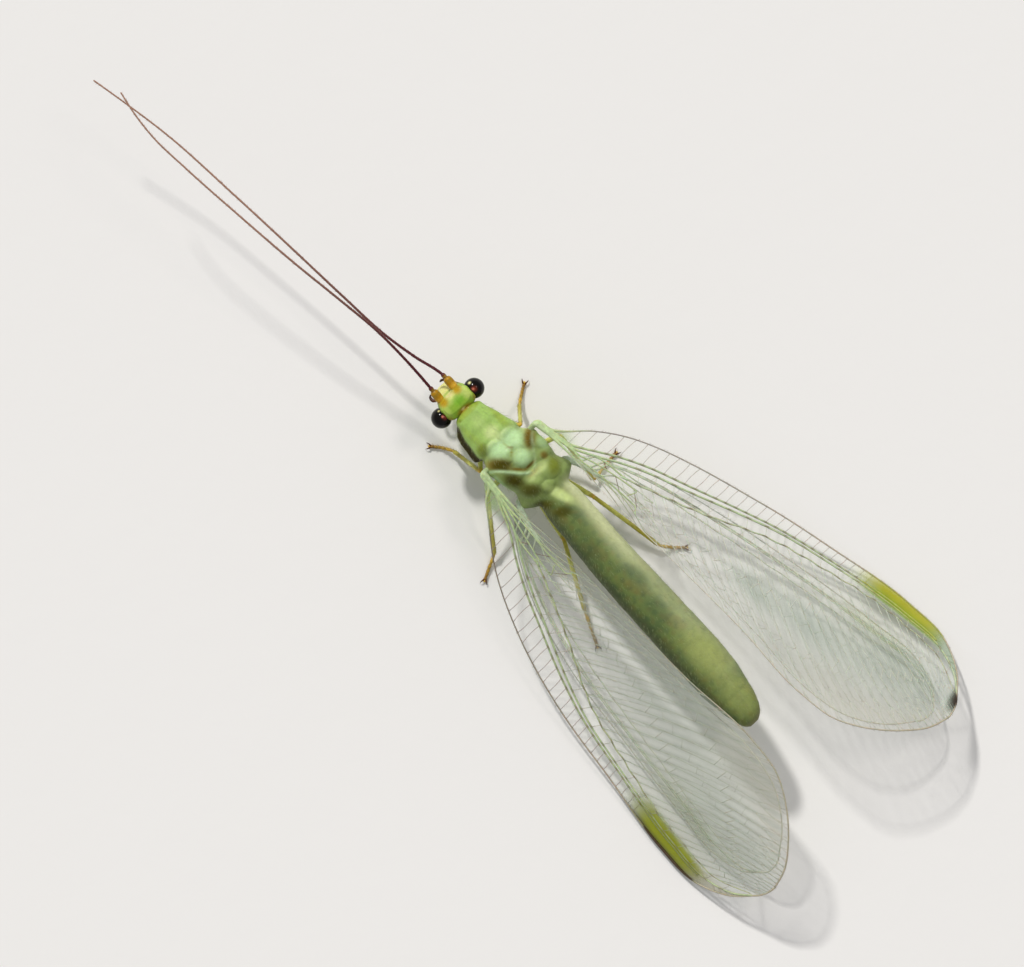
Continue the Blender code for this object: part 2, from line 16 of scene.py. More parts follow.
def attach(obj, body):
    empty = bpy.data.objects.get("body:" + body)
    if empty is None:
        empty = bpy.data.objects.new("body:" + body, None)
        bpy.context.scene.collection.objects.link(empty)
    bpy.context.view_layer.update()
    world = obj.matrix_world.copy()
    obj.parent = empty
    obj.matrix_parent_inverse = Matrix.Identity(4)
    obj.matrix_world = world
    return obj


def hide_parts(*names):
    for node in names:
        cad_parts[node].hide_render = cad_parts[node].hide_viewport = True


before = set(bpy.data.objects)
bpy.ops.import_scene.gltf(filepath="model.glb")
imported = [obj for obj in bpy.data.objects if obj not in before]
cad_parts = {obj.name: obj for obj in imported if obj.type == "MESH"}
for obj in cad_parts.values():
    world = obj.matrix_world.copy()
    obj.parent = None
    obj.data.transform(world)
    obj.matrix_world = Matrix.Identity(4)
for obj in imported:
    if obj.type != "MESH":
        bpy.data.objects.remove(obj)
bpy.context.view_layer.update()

MM = 0.001
ORIGIN = np.array((-0.38, 1.17, 0.0))
RANDOM_SEED = 7

# Hairs: how many on each piece, and how thick they are at the root
BODY_HAIRS = 2000
ANTENNA_HAIRS = 520
LEG_HAIRS = 260
WING_HAIRS = 1500
FINE_HAIR = 0.0028
ANTENNA_HAIR = 0.0035
LEG_BRISTLE = 0.0045

# The camera looks straight down, turned as the photo is
VIEW_CENTRE = (0.499, 2.676)
VIEW_WIDTH = 28.672
VIEW_HEIGHT = 1.5
CAMERA_DISTANCE = 600.0
IMAGE_RIGHT = (-0.7242, 0.6896, 0.0)
IMAGE_UP = (-0.6896, -0.7242, 0.0)
SENSOR_WIDTH = 36.0

# How far the floor reaches from the middle and how far off the lights stand, in metres
FLOOR_REACH = 0.6
LIGHT_DISTANCE = 0.2

# The body's midline seen from above: (y, x)
MIDLINE = (
    (-1.0, 0.05), (0.0, 0.0), (0.7, 0.02), (1.6, -0.04), (2.4, -0.13), (3.4, -0.18),
    (4.5, -0.14), (6.0, -0.05), (8.0, 0.0), (10.0, 0.05), (11.1, 0.11), (11.9, 0.15), (12.3, 0.22),
)

# Head from the crown down: (z, half width, front y, rear y)
HEAD_SECTIONS = (
    (2.43, 0.02, -0.02, 0.00), (2.42, 0.24, -0.14, 0.08), (2.37, 0.41, -0.22, 0.16),
    (2.25, 0.50, -0.29, 0.27), (2.00, 0.53, -0.33, 0.31), (1.80, 0.52, -0.41, 0.30),
    (1.60, 0.46, -0.52, 0.22), (1.44, 0.40, -0.60, 0.12), (1.28, 0.32, -0.65, -0.04),
    (1.20, 0.26, -0.64, -0.12), (1.14, 0.28, -0.68, -0.16), (1.02, 0.23, -0.66, -0.24),
    (0.96, 0.14, -0.60, -0.32), (0.95, 0.02, -0.50, -0.44),
)
HEAD_MIDDLE = 0.04
HEAD_SQUARENESS = 3.5
HEAD_LEVELS = 110
HEAD_SIDES = 96
EYE_CENTRES = {"eye_left": (0.665, -0.01, 1.95), "eye_right": (-0.572, 0.01, 1.95)}
EYE_RADII = (0.295, 0.295, 0.32)
EYE_RINGS = 48
EYE_SIDES = 64

# The body from the neck to the tail: (y, half width, bottom z, top z, squareness of the section)
BODY_SECTIONS = (
    (0.06, 0.16, 1.80, 2.08, 2.1), (0.20, 0.23, 1.74, 2.29, 2.1), (0.27, 0.26, 1.72, 2.31, 2.2),
    (0.32, 0.40, 1.66, 2.31, 2.6), (0.37, 0.46, 1.64, 2.36, 2.9), (0.55, 0.49, 1.62, 2.40, 2.9),
    (0.90, 0.61, 1.58, 2.44, 2.9), (1.15, 0.65, 1.55, 2.44, 2.9), (1.32, 0.69, 1.53, 2.48, 2.9),
    (1.46, 0.72, 1.54, 2.46, 2.8), (1.54, 0.72, 1.56, 2.42, 2.7), (1.60, 0.70, 1.56, 2.38, 2.5),
    (1.66, 0.68, 1.48, 2.40, 2.4), (1.76, 0.74, 1.36, 2.48, 2.4), (1.95, 0.82, 1.18, 2.58, 2.4),
    (2.30, 0.86, 1.06, 2.64, 2.4), (2.70, 0.84, 1.06, 2.58, 2.4), (2.92, 0.77, 1.12, 2.44, 2.4),
    (3.15, 0.80, 1.14, 2.48, 2.4), (3.42, 0.76, 1.26, 2.40, 2.4), (3.60, 0.62, 1.40, 2.32, 2.3),
    (3.68, 0.52, 1.46, 2.34, 2.2), (3.80, 0.55, 1.37, 2.46, 2.1), (4.10, 0.60, 1.31, 2.55, 2.1),
    (5.30, 0.63, 1.28, 2.64, 2.1), (7.20, 0.68, 1.32, 2.78, 2.1), (9.80, 0.71, 1.45, 2.95, 2.1),
    (10.6, 0.69, 1.56, 2.98, 2.1), (11.1, 0.61, 1.70, 2.95, 2.2), (11.5, 0.54, 1.83, 2.90, 2.3),
    (11.9, 0.41, 1.97, 2.80, 2.4), (12.08, 0.31, 2.09, 2.69, 2.4), (12.18, 0.20, 2.20, 2.58, 2.2),
    (12.2, 0.10, 2.30, 2.48, 2.0),
)
SECTION_SOFTNESS = 0.035
BODY_RINGS = 620
BODY_SIDES = 120

# Lobes of the thorax's back: (x from the midline, y, half width, half length, height)
THORAX_LOBES = (
    (-0.36, 1.84, 0.36, 0.42, 0.13), (0.18, 1.82, 0.36, 0.42, 0.13), (-0.08, 1.68, 0.26, 0.14, 0.07),
    (-0.10, 2.34, 0.30, 0.30, 0.15), (-0.66, 2.20, 0.20, 0.40, 0.08), (0.56, 2.20, 0.24, 0.40, 0.08),
    (-0.40, 3.10, 0.34, 0.30, 0.09), (0.38, 3.10, 0.34, 0.30, 0.09), (0.0, 3.42, 0.22, 0.16, 0.09),
    (-0.05, 2.88, 0.44, 0.15, 0.06),
)

# Cords from the wings' hinges to the scutellum, as ridges of the skin: (off the midline, y)
CORD_ROUTE = ((0.10, 2.80), (0.24, 2.68), (0.48, 2.38), (0.72, 2.10), (0.96, 1.93))
CORD_HALF_WIDTH = 0.045
CORD_HEIGHT = 0.04
CORD_TINT = {1: 0.9, -1: 0.35}

# Raised seats of the wings on the thorax's sides: (y, z, spread in y, spread in z, height)
WING_SEATS = ((1.96, 2.34, 0.24, 0.18, 0.16), (2.50, 2.40, 0.40, 0.24, 0.15), (3.36, 1.72, 0.24, 0.26, 0.18))

# The edge below the pronotum on the left, which skin_tints darkens with painted shade: how far out, at what
# height and how tall
LEFT_EDGE_OUT = 0.17
LEFT_EDGE_Z = 1.86
LEFT_EDGE_TALL = 0.13

# Abdomen: where its rings start and end, how many there are, and how deep they step
ABDOMEN_START = 3.72
ABDOMEN_END = 12.2
ABDOMEN_SEGMENTS = 9
ABDOMEN_STEP = 0.010

# Antennae
ANTENNA_ROUTES = {
    "antenna_left": (
        (0.34, -0.28, 2.03), (0.335, -0.41, 2.08), (0.31, -0.80, 2.22), (0.27, -1.80, 2.56),
        (0.29, -3.00, 2.84), (0.44, -4.30, 3.10), (0.66, -6.00, 3.42), (0.86, -8.00, 3.72),
        (1.03, -10.0, 3.93), (1.09, -11.2, 4.01), (1.02, -12.0, 4.05), (0.88, -12.75, 4.08),
    ),
    "antenna_right": (
        (-0.18, -0.28, 2.00), (-0.19, -0.41, 2.02), (-0.20, -0.80, 2.02), (0.03, -1.80, 1.99),
        (0.20, -2.75, 1.98), (0.31, -4.30, 2.00), (0.41, -6.10, 2.10), (0.56, -8.50, 2.30),
        (0.77, -11.1, 2.53), (1.00, -12.5, 2.69), (1.20, -13.55, 2.80),
    ),
}
PEDICEL_END = 0.62
FLAGELLUM_RING = 0.165
ANTENNA_SIDES = 10
FLAGELLUM_RADII = (0.044, 0.022)

# Wings: margins as (backward, outward) from the hinge. Keys 1 and -1 are the left and the right wing
FOREWING_COSTA = (
    (-0.12, 0.0), (0.80, 0.69), (1.94, 1.52), (3.92, 2.41), (6.12, 2.98),
    (8.40, 3.29), (10.88, 3.60), (12.30, 3.56), (13.20, 3.12), (13.74, 2.54),
)
FOREWING_HIND = (
    (0.92, -0.01), (2.5, -0.12), (5.0, -0.15), (8.0, -0.20), (10.4, -0.34),
    (11.6, -0.18), (12.45, 0.27), (13.2, 0.90), (13.72, 1.56), (13.88, 2.05),
)
HINDWING_COSTA = (
    (1.10, 0.0), (2.0, 0.72), (3.4, 1.42), (5.5, 1.98), (8.0, 2.28),
    (10.5, 2.52), (12.1, 2.62), (13.0, 2.36), (13.45, 1.92),
)
HINDWING_HIND = (
    (1.70, 0.0), (3.5, 0.14), (6.0, 0.10), (8.5, 0.0), (10.5, -0.12),
    (11.8, 0.12), (12.75, 0.70), (13.4, 1.45),
)
FRONT_DENTS = {1: (), -1: ((0.24, 5.0, 3.0), (0.17, 0.50, 0.42))}
HINGE_Y = 2.06
HINGE_Z = 2.35
HINGE_OUT = 1.06
WING_RISE = 0.046
WING_SLOPE = 0.76
WING_CAMBER = 0.25
CAMBER_MIDDLE = 1.6
CAMBER_SPAN = 2.2
WING_SPREAD = {1: 0.0, -1: 2.4}
WING_FADE = {1: 0.25, -1: 0.7}
BAND_STRENGTH = {1: 0.75, -1: 0.25}
BAND_HALF_WIDTH = 0.08
CLOUD_STRENGTH = {1: 0.3, -1: 1.0}
STRAP_RADIUS = 0.050
STRAP_LENGTH = 1.2
WING_PLEAT = 0.010
SEAT_OUT = 0.70
SEAT_DROP = 0.26
SUBCOSTA_SHARE = 0.80
MEMBRANE_THICKNESS = 0.012
MEMBRANE_COLUMNS = 200
MEMBRANE_ROWS = 56
ROOT_COLUMNS = 4
TIP_EDGE = 0.03
TIP_BULGE = 0.04
STIGMA_EDGE = {1: 0.06, -1: 0.015}
BRANCH_BOW = (-0.02, -0.06)
BRANCH_STEP = 0.035
CROSS_RADIUS = 0.010

# Places on a wing as shares of its length and width: clouds of the membrane with their half sizes
MEMBRANE_CLOUDS = (
    (0.84, 0.40, 0.12, 0.13), (0.50, 0.64, 0.07, 0.12), (0.64, 0.54, 0.10, 0.12), (0.95, 0.30, 0.05, 0.25),
)
# Veins near the root
ANAL_VEINS = (
    ((0.0, 0.80), (0.05, 0.80), (0.11, 0.88), (0.165, 1.0)),
    ((0.0, 0.90), (0.035, 0.91), (0.07, 0.95), (0.10, 1.0)),
)
HIND_BRANCHES = (
    ((0.11, 0.745), (0.14, 0.82), (0.18, 0.92), (0.21, 1.0)),
    ((0.15, 0.77), (0.19, 0.86), (0.235, 1.0)),
)
ROOT_CROSSINGS = (
    (0.12, "radius", "media"), (0.15, "media", "cubitus"), (0.195, "media", "cubitus"),
)

# What tells the forewing from the hindwing. Lines are (share of the length, share of the width)
FOREWING = {
    "costa": FOREWING_COSTA,
    "hind": FOREWING_HIND,
    "drop": 0.0,
    "radius": (
        (0.0, 0.36), (0.088, 0.45), (0.15, 0.39), (0.215, 0.335), (0.305, 0.28), (0.42, 0.19),
        (0.50, 0.14), (0.61, 0.105), (0.75, 0.095), (0.90, 0.085), (0.985, 0.05),
    ),
    "sector": (
        (0.0, 0.55), (0.178, 0.55), (0.26, 0.48), (0.34, 0.40), (0.475, 0.24),
        (0.61, 0.165), (0.72, 0.14), (0.90, 0.16), (0.985, 0.14),
    ),
    "media": ((0.0, 0.55), (0.05, 0.56), (0.10, 0.58), (0.16, 0.60), (0.22, 0.63)),
    "cubitus": ((0.0, 0.70), (0.05, 0.70), (0.10, 0.74), (0.17, 0.78), (0.24, 0.83)),
    "sector_start": 0.09,
    "branches": (0.16, 0.90, 31),
    "branch_ends": ((0.16, 0.24), (0.30, 0.47), (0.45, 0.75), (0.60, 0.93), (0.72, 0.985), (0.90, 1.027)),
    "costal_cells": 31,
    "radial_cells": 19,
    "stigma": (0.69, 0.868),
    "stain": 1.0,
    "fade": 0.0,
    "thickness": 1.0,
    "trunk": ((-0.08, 0.0), (0.42, 0.06), (0.80, 0.13), (1.30, 0.19)),
}
HINDWING = {
    "costa": HINDWING_COSTA,
    "hind": HINDWING_HIND,
    "drop": 0.84,
    "radius": ((0.0, 0.18), (0.3, 0.15), (0.6, 0.10), (0.75, 0.09), (0.90, 0.08), (0.985, 0.05)),
    "sector": ((0.0, 0.36), (0.3, 0.28), (0.6, 0.19), (0.75, 0.16), (0.90, 0.16), (0.985, 0.14)),
    "media": ((0.0, 0.42), (0.05, 0.42), (0.10, 0.46), (0.16, 0.52), (0.22, 0.56)),
    "cubitus": ((0.0, 0.66), (0.05, 0.66), (0.10, 0.70), (0.17, 0.76), (0.24, 0.82)),
    "sector_start": 0.08,
    "branches": (0.16, 0.88, 22),
    "branch_ends": ((0.16, 0.22), (0.30, 0.43), (0.45, 0.68), (0.60, 0.87), (0.72, 0.96), (0.88, 1.02)),
    "costal_cells": 24,
    "radial_cells": 14,
    "stigma": (0.70, 0.85),
    "stain": 0.25,
    "fade": 0.55,
    "thickness": 0.75,
    "trunk": ((1.15, -0.18), (1.50, -0.02), (1.85, 0.08), (2.30, 0.18)),
}

# Legs: hip, trochanter, knee, ankle, mid tarsus and tip of each
LEGS = {
    "leg_fore_left": (
        (0.22, 1.22, 1.42), (0.38, 1.22, 0.98), (0.91, 1.84, 1.55),
        (1.06, 0.88, 0.26), (1.22, 0.60, 0.07), (1.44, 0.34, 0.06),
    ),
    "leg_fore_right": (
        (-0.32, 1.22, 1.42), (-0.44, 1.22, 0.98), (-0.80, 1.66, 1.50),
        (-1.18, 1.21, 0.26), (-1.40, 1.06, 0.07), (-1.68, 0.88, 0.06),
    ),
    "leg_mid_left": (
        (0.21, 2.35, 0.94), (0.34, 2.35, 0.70), (1.16, 2.38, 1.45),
        (2.22, 3.77, 0.26), (2.56, 3.93, 0.07), (2.92, 4.11, 0.06),
    ),
    "leg_mid_right": (
        (-0.49, 2.35, 0.94), (-0.62, 2.35, 0.70), (-1.42, 2.62, 1.32),
        (-1.22, 4.20, 0.26), (-1.70, 4.12, 0.07), (-2.20, 4.07, 0.06),
    ),
    "leg_hind_left": (
        (0.14, 3.20, 1.02), (0.22, 3.26, 0.76), (0.52, 4.80, 0.96),
        (1.46, 6.62, 0.26), (1.68, 7.12, 0.07), (1.92, 7.64, 0.06),
    ),
    "leg_hind_right": (
        (-0.46, 3.20, 1.02), (-0.52, 3.26, 0.76), (-0.90, 4.50, 1.08),
        (-1.30, 6.80, 0.26), (-1.54, 7.10, 0.07), (-1.80, 7.34, 0.06),
    ),
}
FOOT_JOINTS = (0.0, 0.34, 0.54, 0.70, 0.82, 1.0)
LEG_RINGS = 230
LEG_SIDES = 14
CLAW_RINGS = 10


def srgb(red, green, blue, alpha=1.0):
    """A display colour of 0 to 255 as the linear one that Blender mixes."""
    display = np.array((red, green, blue)) / 255
    linear = np.where(display <= 0.04045, display / 12.92, ((display + 0.055) / 1.055) ** 2.4)
    return np.array((*linear, alpha))


# Colours of the cuticle
HEAD_GREEN = srgb(140, 176, 58)
HEAD_BRIGHT = srgb(112, 172, 40)
HEAD_PALE = srgb(190, 204, 112)
FACE_CREAM = srgb(222, 216, 140)
SOCKET_GOLD = srgb(176, 136, 16)
NECK_AMBER = srgb(150, 120, 24)
PRONOTUM_SIDE = srgb(148, 168, 62)
PRONOTUM_GREEN = srgb(158, 190, 100)
PRONOTUM_PALE = srgb(198, 214, 144)
OLIVE = srgb(112, 122, 36)
DARK_OLIVE = srgb(70, 66, 0)
SPOT_BROWN = srgb(112, 88, 16)
# Painted shade on the left side of the prothorax, below the pronotum's edge
PAINTED_EDGE_SHADE = srgb(50, 42, 0)
THORAX_GREEN = srgb(140, 160, 92)
MINT = srgb(176, 208, 152)
SUTURE = srgb(132, 138, 60)
PALE_YELLOW_GREEN = srgb(192, 208, 136)
ABDOMEN_GREEN = srgb(106, 122, 66)
ABDOMEN_BLUE_GREEN = srgb(66, 88, 58)
ABDOMEN_BROWN = srgb(112, 104, 56)
# Painted light on the abdomen's right side, which faces the key light
ABDOMEN_LIT_FLANK = srgb(200, 206, 158)
ABDOMEN_YELLOW = srgb(150, 160, 92)
ABDOMEN_SHADE = srgb(70, 80, 50)
BELLY_PALE = srgb(178, 188, 126)
TAIL_BROWN = srgb(118, 112, 74)
LEG_PALE = srgb(204, 206, 108)
LEG_OLIVE = srgb(180, 170, 68)
FOOT_GOLD = srgb(204, 168, 66)
CLAW_BROWN = srgb(104, 52, 24)
FLAGELLUM_DARK = srgb(80, 24, 30)
FLAGELLUM_BROWN = srgb(158, 122, 104)
SCAPE_GOLD = srgb(174, 126, 0)
SCAPE_LIGHT = srgb(214, 172, 50)
PALP_DARK = srgb(40, 28, 16)
EYE_BLACK = srgb(9, 7, 5)
# Painted reflection on the eye's lower rim
EYE_RIM_REFLECTION = srgb(46, 52, 20)
HAIR_PALE = srgb(158, 168, 116)
HAIR_DARK = srgb(70, 58, 44)
CORD_PALE = srgb(176, 204, 156)
VEIN_ROOT = srgb(196, 214, 152)
VEIN_PALE = srgb(178, 198, 150)
VEIN_GREEN = srgb(176, 192, 138)
VEIN_BRANCH = srgb(154, 166, 138)
VEIN_OLIVE = srgb(168, 174, 120)
VEIN_GREY = srgb(162, 166, 146)
VEIN_CROSS = srgb(164, 150, 142)
VEIN_EDGE = {1: srgb(146, 128, 114), -1: srgb(174, 158, 150)}
VEIN_TIP = srgb(184, 176, 150)
VEIN_HIND = {1: srgb(168, 176, 152), -1: srgb(222, 222, 208)}
VEIN_BROWN = srgb(118, 102, 82)
VEIN_FADED = srgb(212, 218, 202)
STIGMA_YELLOW = srgb(180, 180, 26, 0.72)
STIGMA_GREEN = srgb(134, 162, 20, 0.74)
STIGMA_OLIVE = srgb(152, 160, 0, 0.80)
STIGMA_VEIN = {1: srgb(112, 116, 0), -1: srgb(168, 174, 20)}
# The next two are painted shade along the costal margin of the left pterostigma: a dark tube and a brown tint
STIGMA_RIM_SHADE = srgb(64, 44, 14)
STIGMA_SHADE_BROWN = srgb(58, 40, 6, 0.85)
STIGMA_END = {1: srgb(184, 178, 142, 0.34), -1: srgb(146, 182, 132, 0.32)}
MEMBRANE_INNER = srgb(232, 236, 224, 0.014)
# Outer haze of each wing; the left one is whiter and denser, painted light over the floor shadow seen through
# it
MEMBRANE_OUTER_HAZE_AND_LIGHT = {1: srgb(232, 238, 222, 0.11), -1: srgb(218, 226, 206, 0.065)}
MEMBRANE_BAND = srgb(150, 168, 146, 0.19)
MEMBRANE_CLOUD = srgb(142, 166, 144, 0.15)
MEMBRANE_BEIGE = srgb(206, 200, 172, 0.075)
MEMBRANE_ROOT = srgb(178, 206, 156, 0.15)
MEMBRANE_SHOULDER = srgb(170, 198, 128, 0.40)
# Hindwing root tints; the left one is partly painted shade, a dark sheet over the abdomen's shaded side
MEMBRANE_HIND_ROOT_AND_SHADE = {1: srgb(96, 122, 82, 0.34), -1: srgb(178, 200, 164, 0.16)}
MEMBRANE_SEAT = srgb(176, 206, 160, 0.03)
# Painted contact shadow at the right forewing's apex
TIP_CONTACT_SHADOW = srgb(50, 36, 22, 0.95)

# The first two joints of an antenna: (length along, radius, colour)
ANTENNA_BASE = (
    (0.0, 0.10, SCAPE_GOLD), (0.08, 0.11, SCAPE_GOLD), (0.16, 0.122, SCAPE_LIGHT), (0.26, 0.128, SCAPE_GOLD),
    (0.36, 0.128, NECK_AMBER), (0.42, 0.118, SCAPE_GOLD), (0.46, 0.09, NECK_AMBER), (0.48, 0.055, CLAW_BROWN),
    (0.51, 0.064, NECK_AMBER), (0.56, 0.070, CLAW_BROWN), (0.60, 0.060, FLAGELLUM_DARK),
    (PEDICEL_END, 0.042, FLAGELLUM_DARK),
)

# Mandibles and palps: route, radii along it, colour at the root and at the tip
MOUTHPARTS = (
    (((0.21, -0.46, 1.12), (0.23, -0.55, 0.96), (0.19, -0.58, 0.83), (0.09, -0.56, 0.75)),
     (0.09, 0.085, 0.06, 0.015), NECK_AMBER, CLAW_BROWN),
    (((-0.13, -0.46, 1.12), (-0.15, -0.55, 0.96), (-0.11, -0.58, 0.83), (0.0, -0.56, 0.75)),
     (0.09, 0.085, 0.06, 0.015), NECK_AMBER, CLAW_BROWN),
    (((0.22, -0.40, 1.14), (0.40, -0.46, 1.06), (0.50, -0.52, 1.02), (0.51, -0.62, 0.98),
      (0.44, -0.70, 0.88)),
     (0.045, 0.042, 0.048, 0.045, 0.018), CLAW_BROWN, PALP_DARK),
    (((-0.14, -0.42, 1.14), (-0.24, -0.56, 1.06), (-0.18, -0.70, 1.02), (-0.07, -0.78, 0.98),
      (0.0, -0.78, 0.88)),
     (0.045, 0.042, 0.048, 0.045, 0.018), CLAW_BROWN, PALP_DARK),
    (((0.16, -0.34, 1.04), (0.24, -0.36, 0.86), (0.23, -0.46, 0.74), (0.19, -0.58, 0.68)),
     (0.04, 0.038, 0.036, 0.014), CLAW_BROWN, PALP_DARK),
    (((-0.08, -0.34, 1.04), (-0.16, -0.36, 0.86), (-0.15, -0.46, 0.74), (-0.11, -0.58, 0.68)),
     (0.04, 0.038, 0.036, 0.014), CLAW_BROWN, PALP_DARK),
)

# Highlights and reflections of each eye: direction from its centre, colour, size
EYE_GLINTS = {
    "eye_left": (
        ((-0.27, -0.66, 0.70), srgb(236, 226, 160), 0.11), ((-0.30, 0.16, 0.94), srgb(104, 40, 26), 0.26),
        ((-0.16, -0.02, 0.99), srgb(214, 126, 108), 0.10),
    ),
    "eye_right": (
        ((-0.02, -0.67, 0.74), srgb(250, 246, 170), 0.15), ((0.05, 0.06, 0.99), srgb(110, 44, 26), 0.28),
        ((0.12, 0.0, 0.99), srgb(220, 130, 104), 0.11),
    ),
}

# Marks on the back: colour, x, y, half width, half length, turn in degrees, strength
BACK_MARKS = (
    (HEAD_PALE, 0.02, -0.20, 0.40, 0.14, 0, 0.7),
    (HEAD_PALE, -0.33, -0.06, 0.14, 0.20, 0, 0.8),
    (HEAD_PALE, 0.42, -0.04, 0.10, 0.20, 0, 0.5),
    (HEAD_BRIGHT, -0.03, -0.06, 0.18, 0.15, 0, 0.65),
    (FACE_CREAM, 0.06, -0.44, 0.16, 0.22, 0, 0.95),
    (SOCKET_GOLD, 0.33, -0.28, 0.14, 0.14, 0, 0.9),
    (SOCKET_GOLD, -0.20, -0.30, 0.14, 0.14, 0, 0.9),
    # Painted highlight on the face, between the antennal sockets
    (FACE_CREAM, 0.05, -0.33, 0.11, 0.06, 0, 0.9),
    (NECK_AMBER, 0.03, 0.25, 0.25, 0.085, 0, 1.0),
    # Painted highlight on the amber neck crescent
    (FACE_CREAM, 0.05, 0.22, 0.05, 0.03, 0, 0.9),
    (NECK_AMBER, 0.55, 0.24, 0.12, 0.12, 0, 0.8),
    (NECK_AMBER, -0.47, 0.24, 0.12, 0.12, 0, 0.8),
    (OLIVE, -0.32, 0.36, 0.055, 0.05, 0, 0.8),
    (OLIVE, 0.36, 0.40, 0.055, 0.05, 0, 0.8),
    (PRONOTUM_PALE, -0.08, 1.24, 0.22, 0.20, 0, 0.9),
    (PRONOTUM_PALE, -0.10, 1.50, 0.52, 0.11, 0, 0.9),
    (PRONOTUM_SIDE, 0.03, 0.37, 0.48, 0.09, 0, 0.85),
    (PRONOTUM_PALE, 0.0, 0.80, 0.18, 0.26, 0, 0.25),
    (OLIVE, 0.45, 1.44, 0.17, 0.20, 20, 0.85),
    (OLIVE, -0.56, 1.46, 0.12, 0.10, 0, 0.4),
    (PRONOTUM_SIDE, -0.55, 1.00, 0.12, 0.50, 6, 0.7),
    (PRONOTUM_SIDE, 0.42, 1.00, 0.10, 0.50, -6, 0.4),
    (PALE_YELLOW_GREEN, 0.92, 1.90, 0.20, 0.16, 0, 0.9),
    (PALE_YELLOW_GREEN, -0.92, 1.78, 0.20, 0.16, 0, 0.9),
    (MINT, -0.38, 1.78, 0.33, 0.34, 0, 1.0),
    (MINT, 0.12, 1.76, 0.32, 0.32, 0, 1.0),
    (MINT, -0.22, 2.34, 0.28, 0.25, 0, 1.0),
    (SPOT_BROWN, 0.43, 2.04, 0.38, 0.20, 44, 0.9),
    (DARK_OLIVE, 0.38, 2.13, 0.30, 0.16, 44, 0.95),
    (SPOT_BROWN, -0.75, 2.08, 0.34, 0.17, -46, 1.0),
    (DARK_OLIVE, -0.70, 2.20, 0.20, 0.09, -50, 0.6),
    (SPOT_BROWN, -0.98, 1.92, 0.10, 0.10, 0, 0.8),
    (SPOT_BROWN, -0.15, 1.90, 0.11, 0.035, 44, 0.7),
    (SUTURE, -0.09, 2.04, 0.035, 0.11, 44, 0.9),
    (SUTURE, -0.13, 1.72, 0.025, 0.22, 0, 0.5),
    (SPOT_BROWN, 0.10, 2.51, 0.22, 0.05, 46, 0.9),
    (SPOT_BROWN, -0.22, 2.65, 0.24, 0.045, 0, 0.9),
    (PALE_YELLOW_GREEN, -0.28, 2.90, 0.38, 0.13, 0, 1.0),
    (FACE_CREAM, -0.14, 2.86, 0.20, 0.07, 0, 0.5),
    (MINT, -0.92, 2.44, 0.14, 0.20, 0, 0.6),
    (SPOT_BROWN, -0.70, 2.72, 0.11, 0.12, 0, 0.85),
    (MINT, 0.72, 2.50, 0.06, 0.40, 0, 0.7),
    (DARK_OLIVE, 0.40, 2.67, 0.33, 0.18, 60, 1.0),
    (DARK_OLIVE, 0.25, 3.17, 0.35, 0.20, 44, 0.9),
    (OLIVE, -0.71, 3.12, 0.31, 0.19, -46, 0.9),
    (PALE_YELLOW_GREEN, -0.28, 3.85, 0.15, 0.45, -19, 0.85),
    (DARK_OLIVE, 0.26, 3.74, 0.28, 0.14, 40, 0.9),
    (DARK_OLIVE, 0.02, 4.22, 0.28, 0.16, 40, 0.85),
    (ABDOMEN_BLUE_GREEN, -0.25, 6.95, 0.22, 0.45, 0, 0.5),
    (ABDOMEN_BLUE_GREEN, 0.0, 8.00, 0.26, 0.55, 0, 0.45),
    (ABDOMEN_BLUE_GREEN, 0.20, 5.60, 0.22, 0.50, 0, 0.4),
    (ABDOMEN_YELLOW, -0.16, 9.80, 0.50, 0.80, 0, 0.85),
    (ABDOMEN_YELLOW, 0.0, 11.3, 0.44, 0.75, 0, 0.65),
)


# Curves and small sums
def curve(stations, at):
    """Values of a smooth curve through stations (place, values...), one row for each place."""
    table = np.array(stations, dtype=float)
    places, values = table[:, 0], table[:, 1:]
    slopes = np.gradient(values, places, axis=0)
    at = np.clip(np.atleast_1d(at), places[0], places[-1])
    k = np.clip(np.searchsorted(places, at, side="right") - 1, 0, len(places) - 2)
    step = (places[k + 1] - places[k])[:, None]
    t = (at - places[k])[:, None] / step
    start = (1 + 2 * t) * (1 - t) ** 2 * values[k] + t * (1 - t) ** 2 * step * slopes[k]
    end = t * t * (3 - 2 * t) * values[k + 1] + t * t * (t - 1) * step * slopes[k + 1]
    return start + end


def lengths_along(path):
    return np.concatenate(([0.0], np.cumsum(np.linalg.norm(np.diff(path, axis=0), axis=1))))


def even_path(points, count):
    """Points at even distances along a smooth curve through the given ones."""
    corners = np.array(points, dtype=float)
    stations = np.column_stack((lengths_along(corners), corners))
    fine = curve(stations, np.linspace(0.0, stations[-1, 0], 12 * count))
    return resample(fine, count)


def between(at, places, rows):
    """Rows read off at some places between the places of the given rows."""
    return np.column_stack([np.interp(at, places, column) for column in np.asarray(rows).T])


def resample(path, count):
    """Points at even distances along a polyline."""
    path = np.asarray(path, dtype=float)
    travel = lengths_along(path)
    return between(np.linspace(0.0, travel[-1], count), travel, path)


def smoothstep(low, high, value):
    t = np.clip((value - low) / (high - low), 0.0, 1.0)
    return t * t * (3 - 2 * t)


def bell(value, width, power=2):
    """One at the middle and falling to nothing within about twice the width."""
    return np.exp(-((value / width) ** power))


def unit(vectors):
    return vectors / np.maximum(np.linalg.norm(vectors, axis=-1, keepdims=True), 1e-12)


def mix(first, second, share):
    """Rows of colours between two colours or rows of colours."""
    share = np.asarray(share, dtype=float)[..., None]
    return first + (second - first) * share


def middle(y):
    """The body's midline x at each y."""
    return curve(MIDLINE, y)[:, 0]


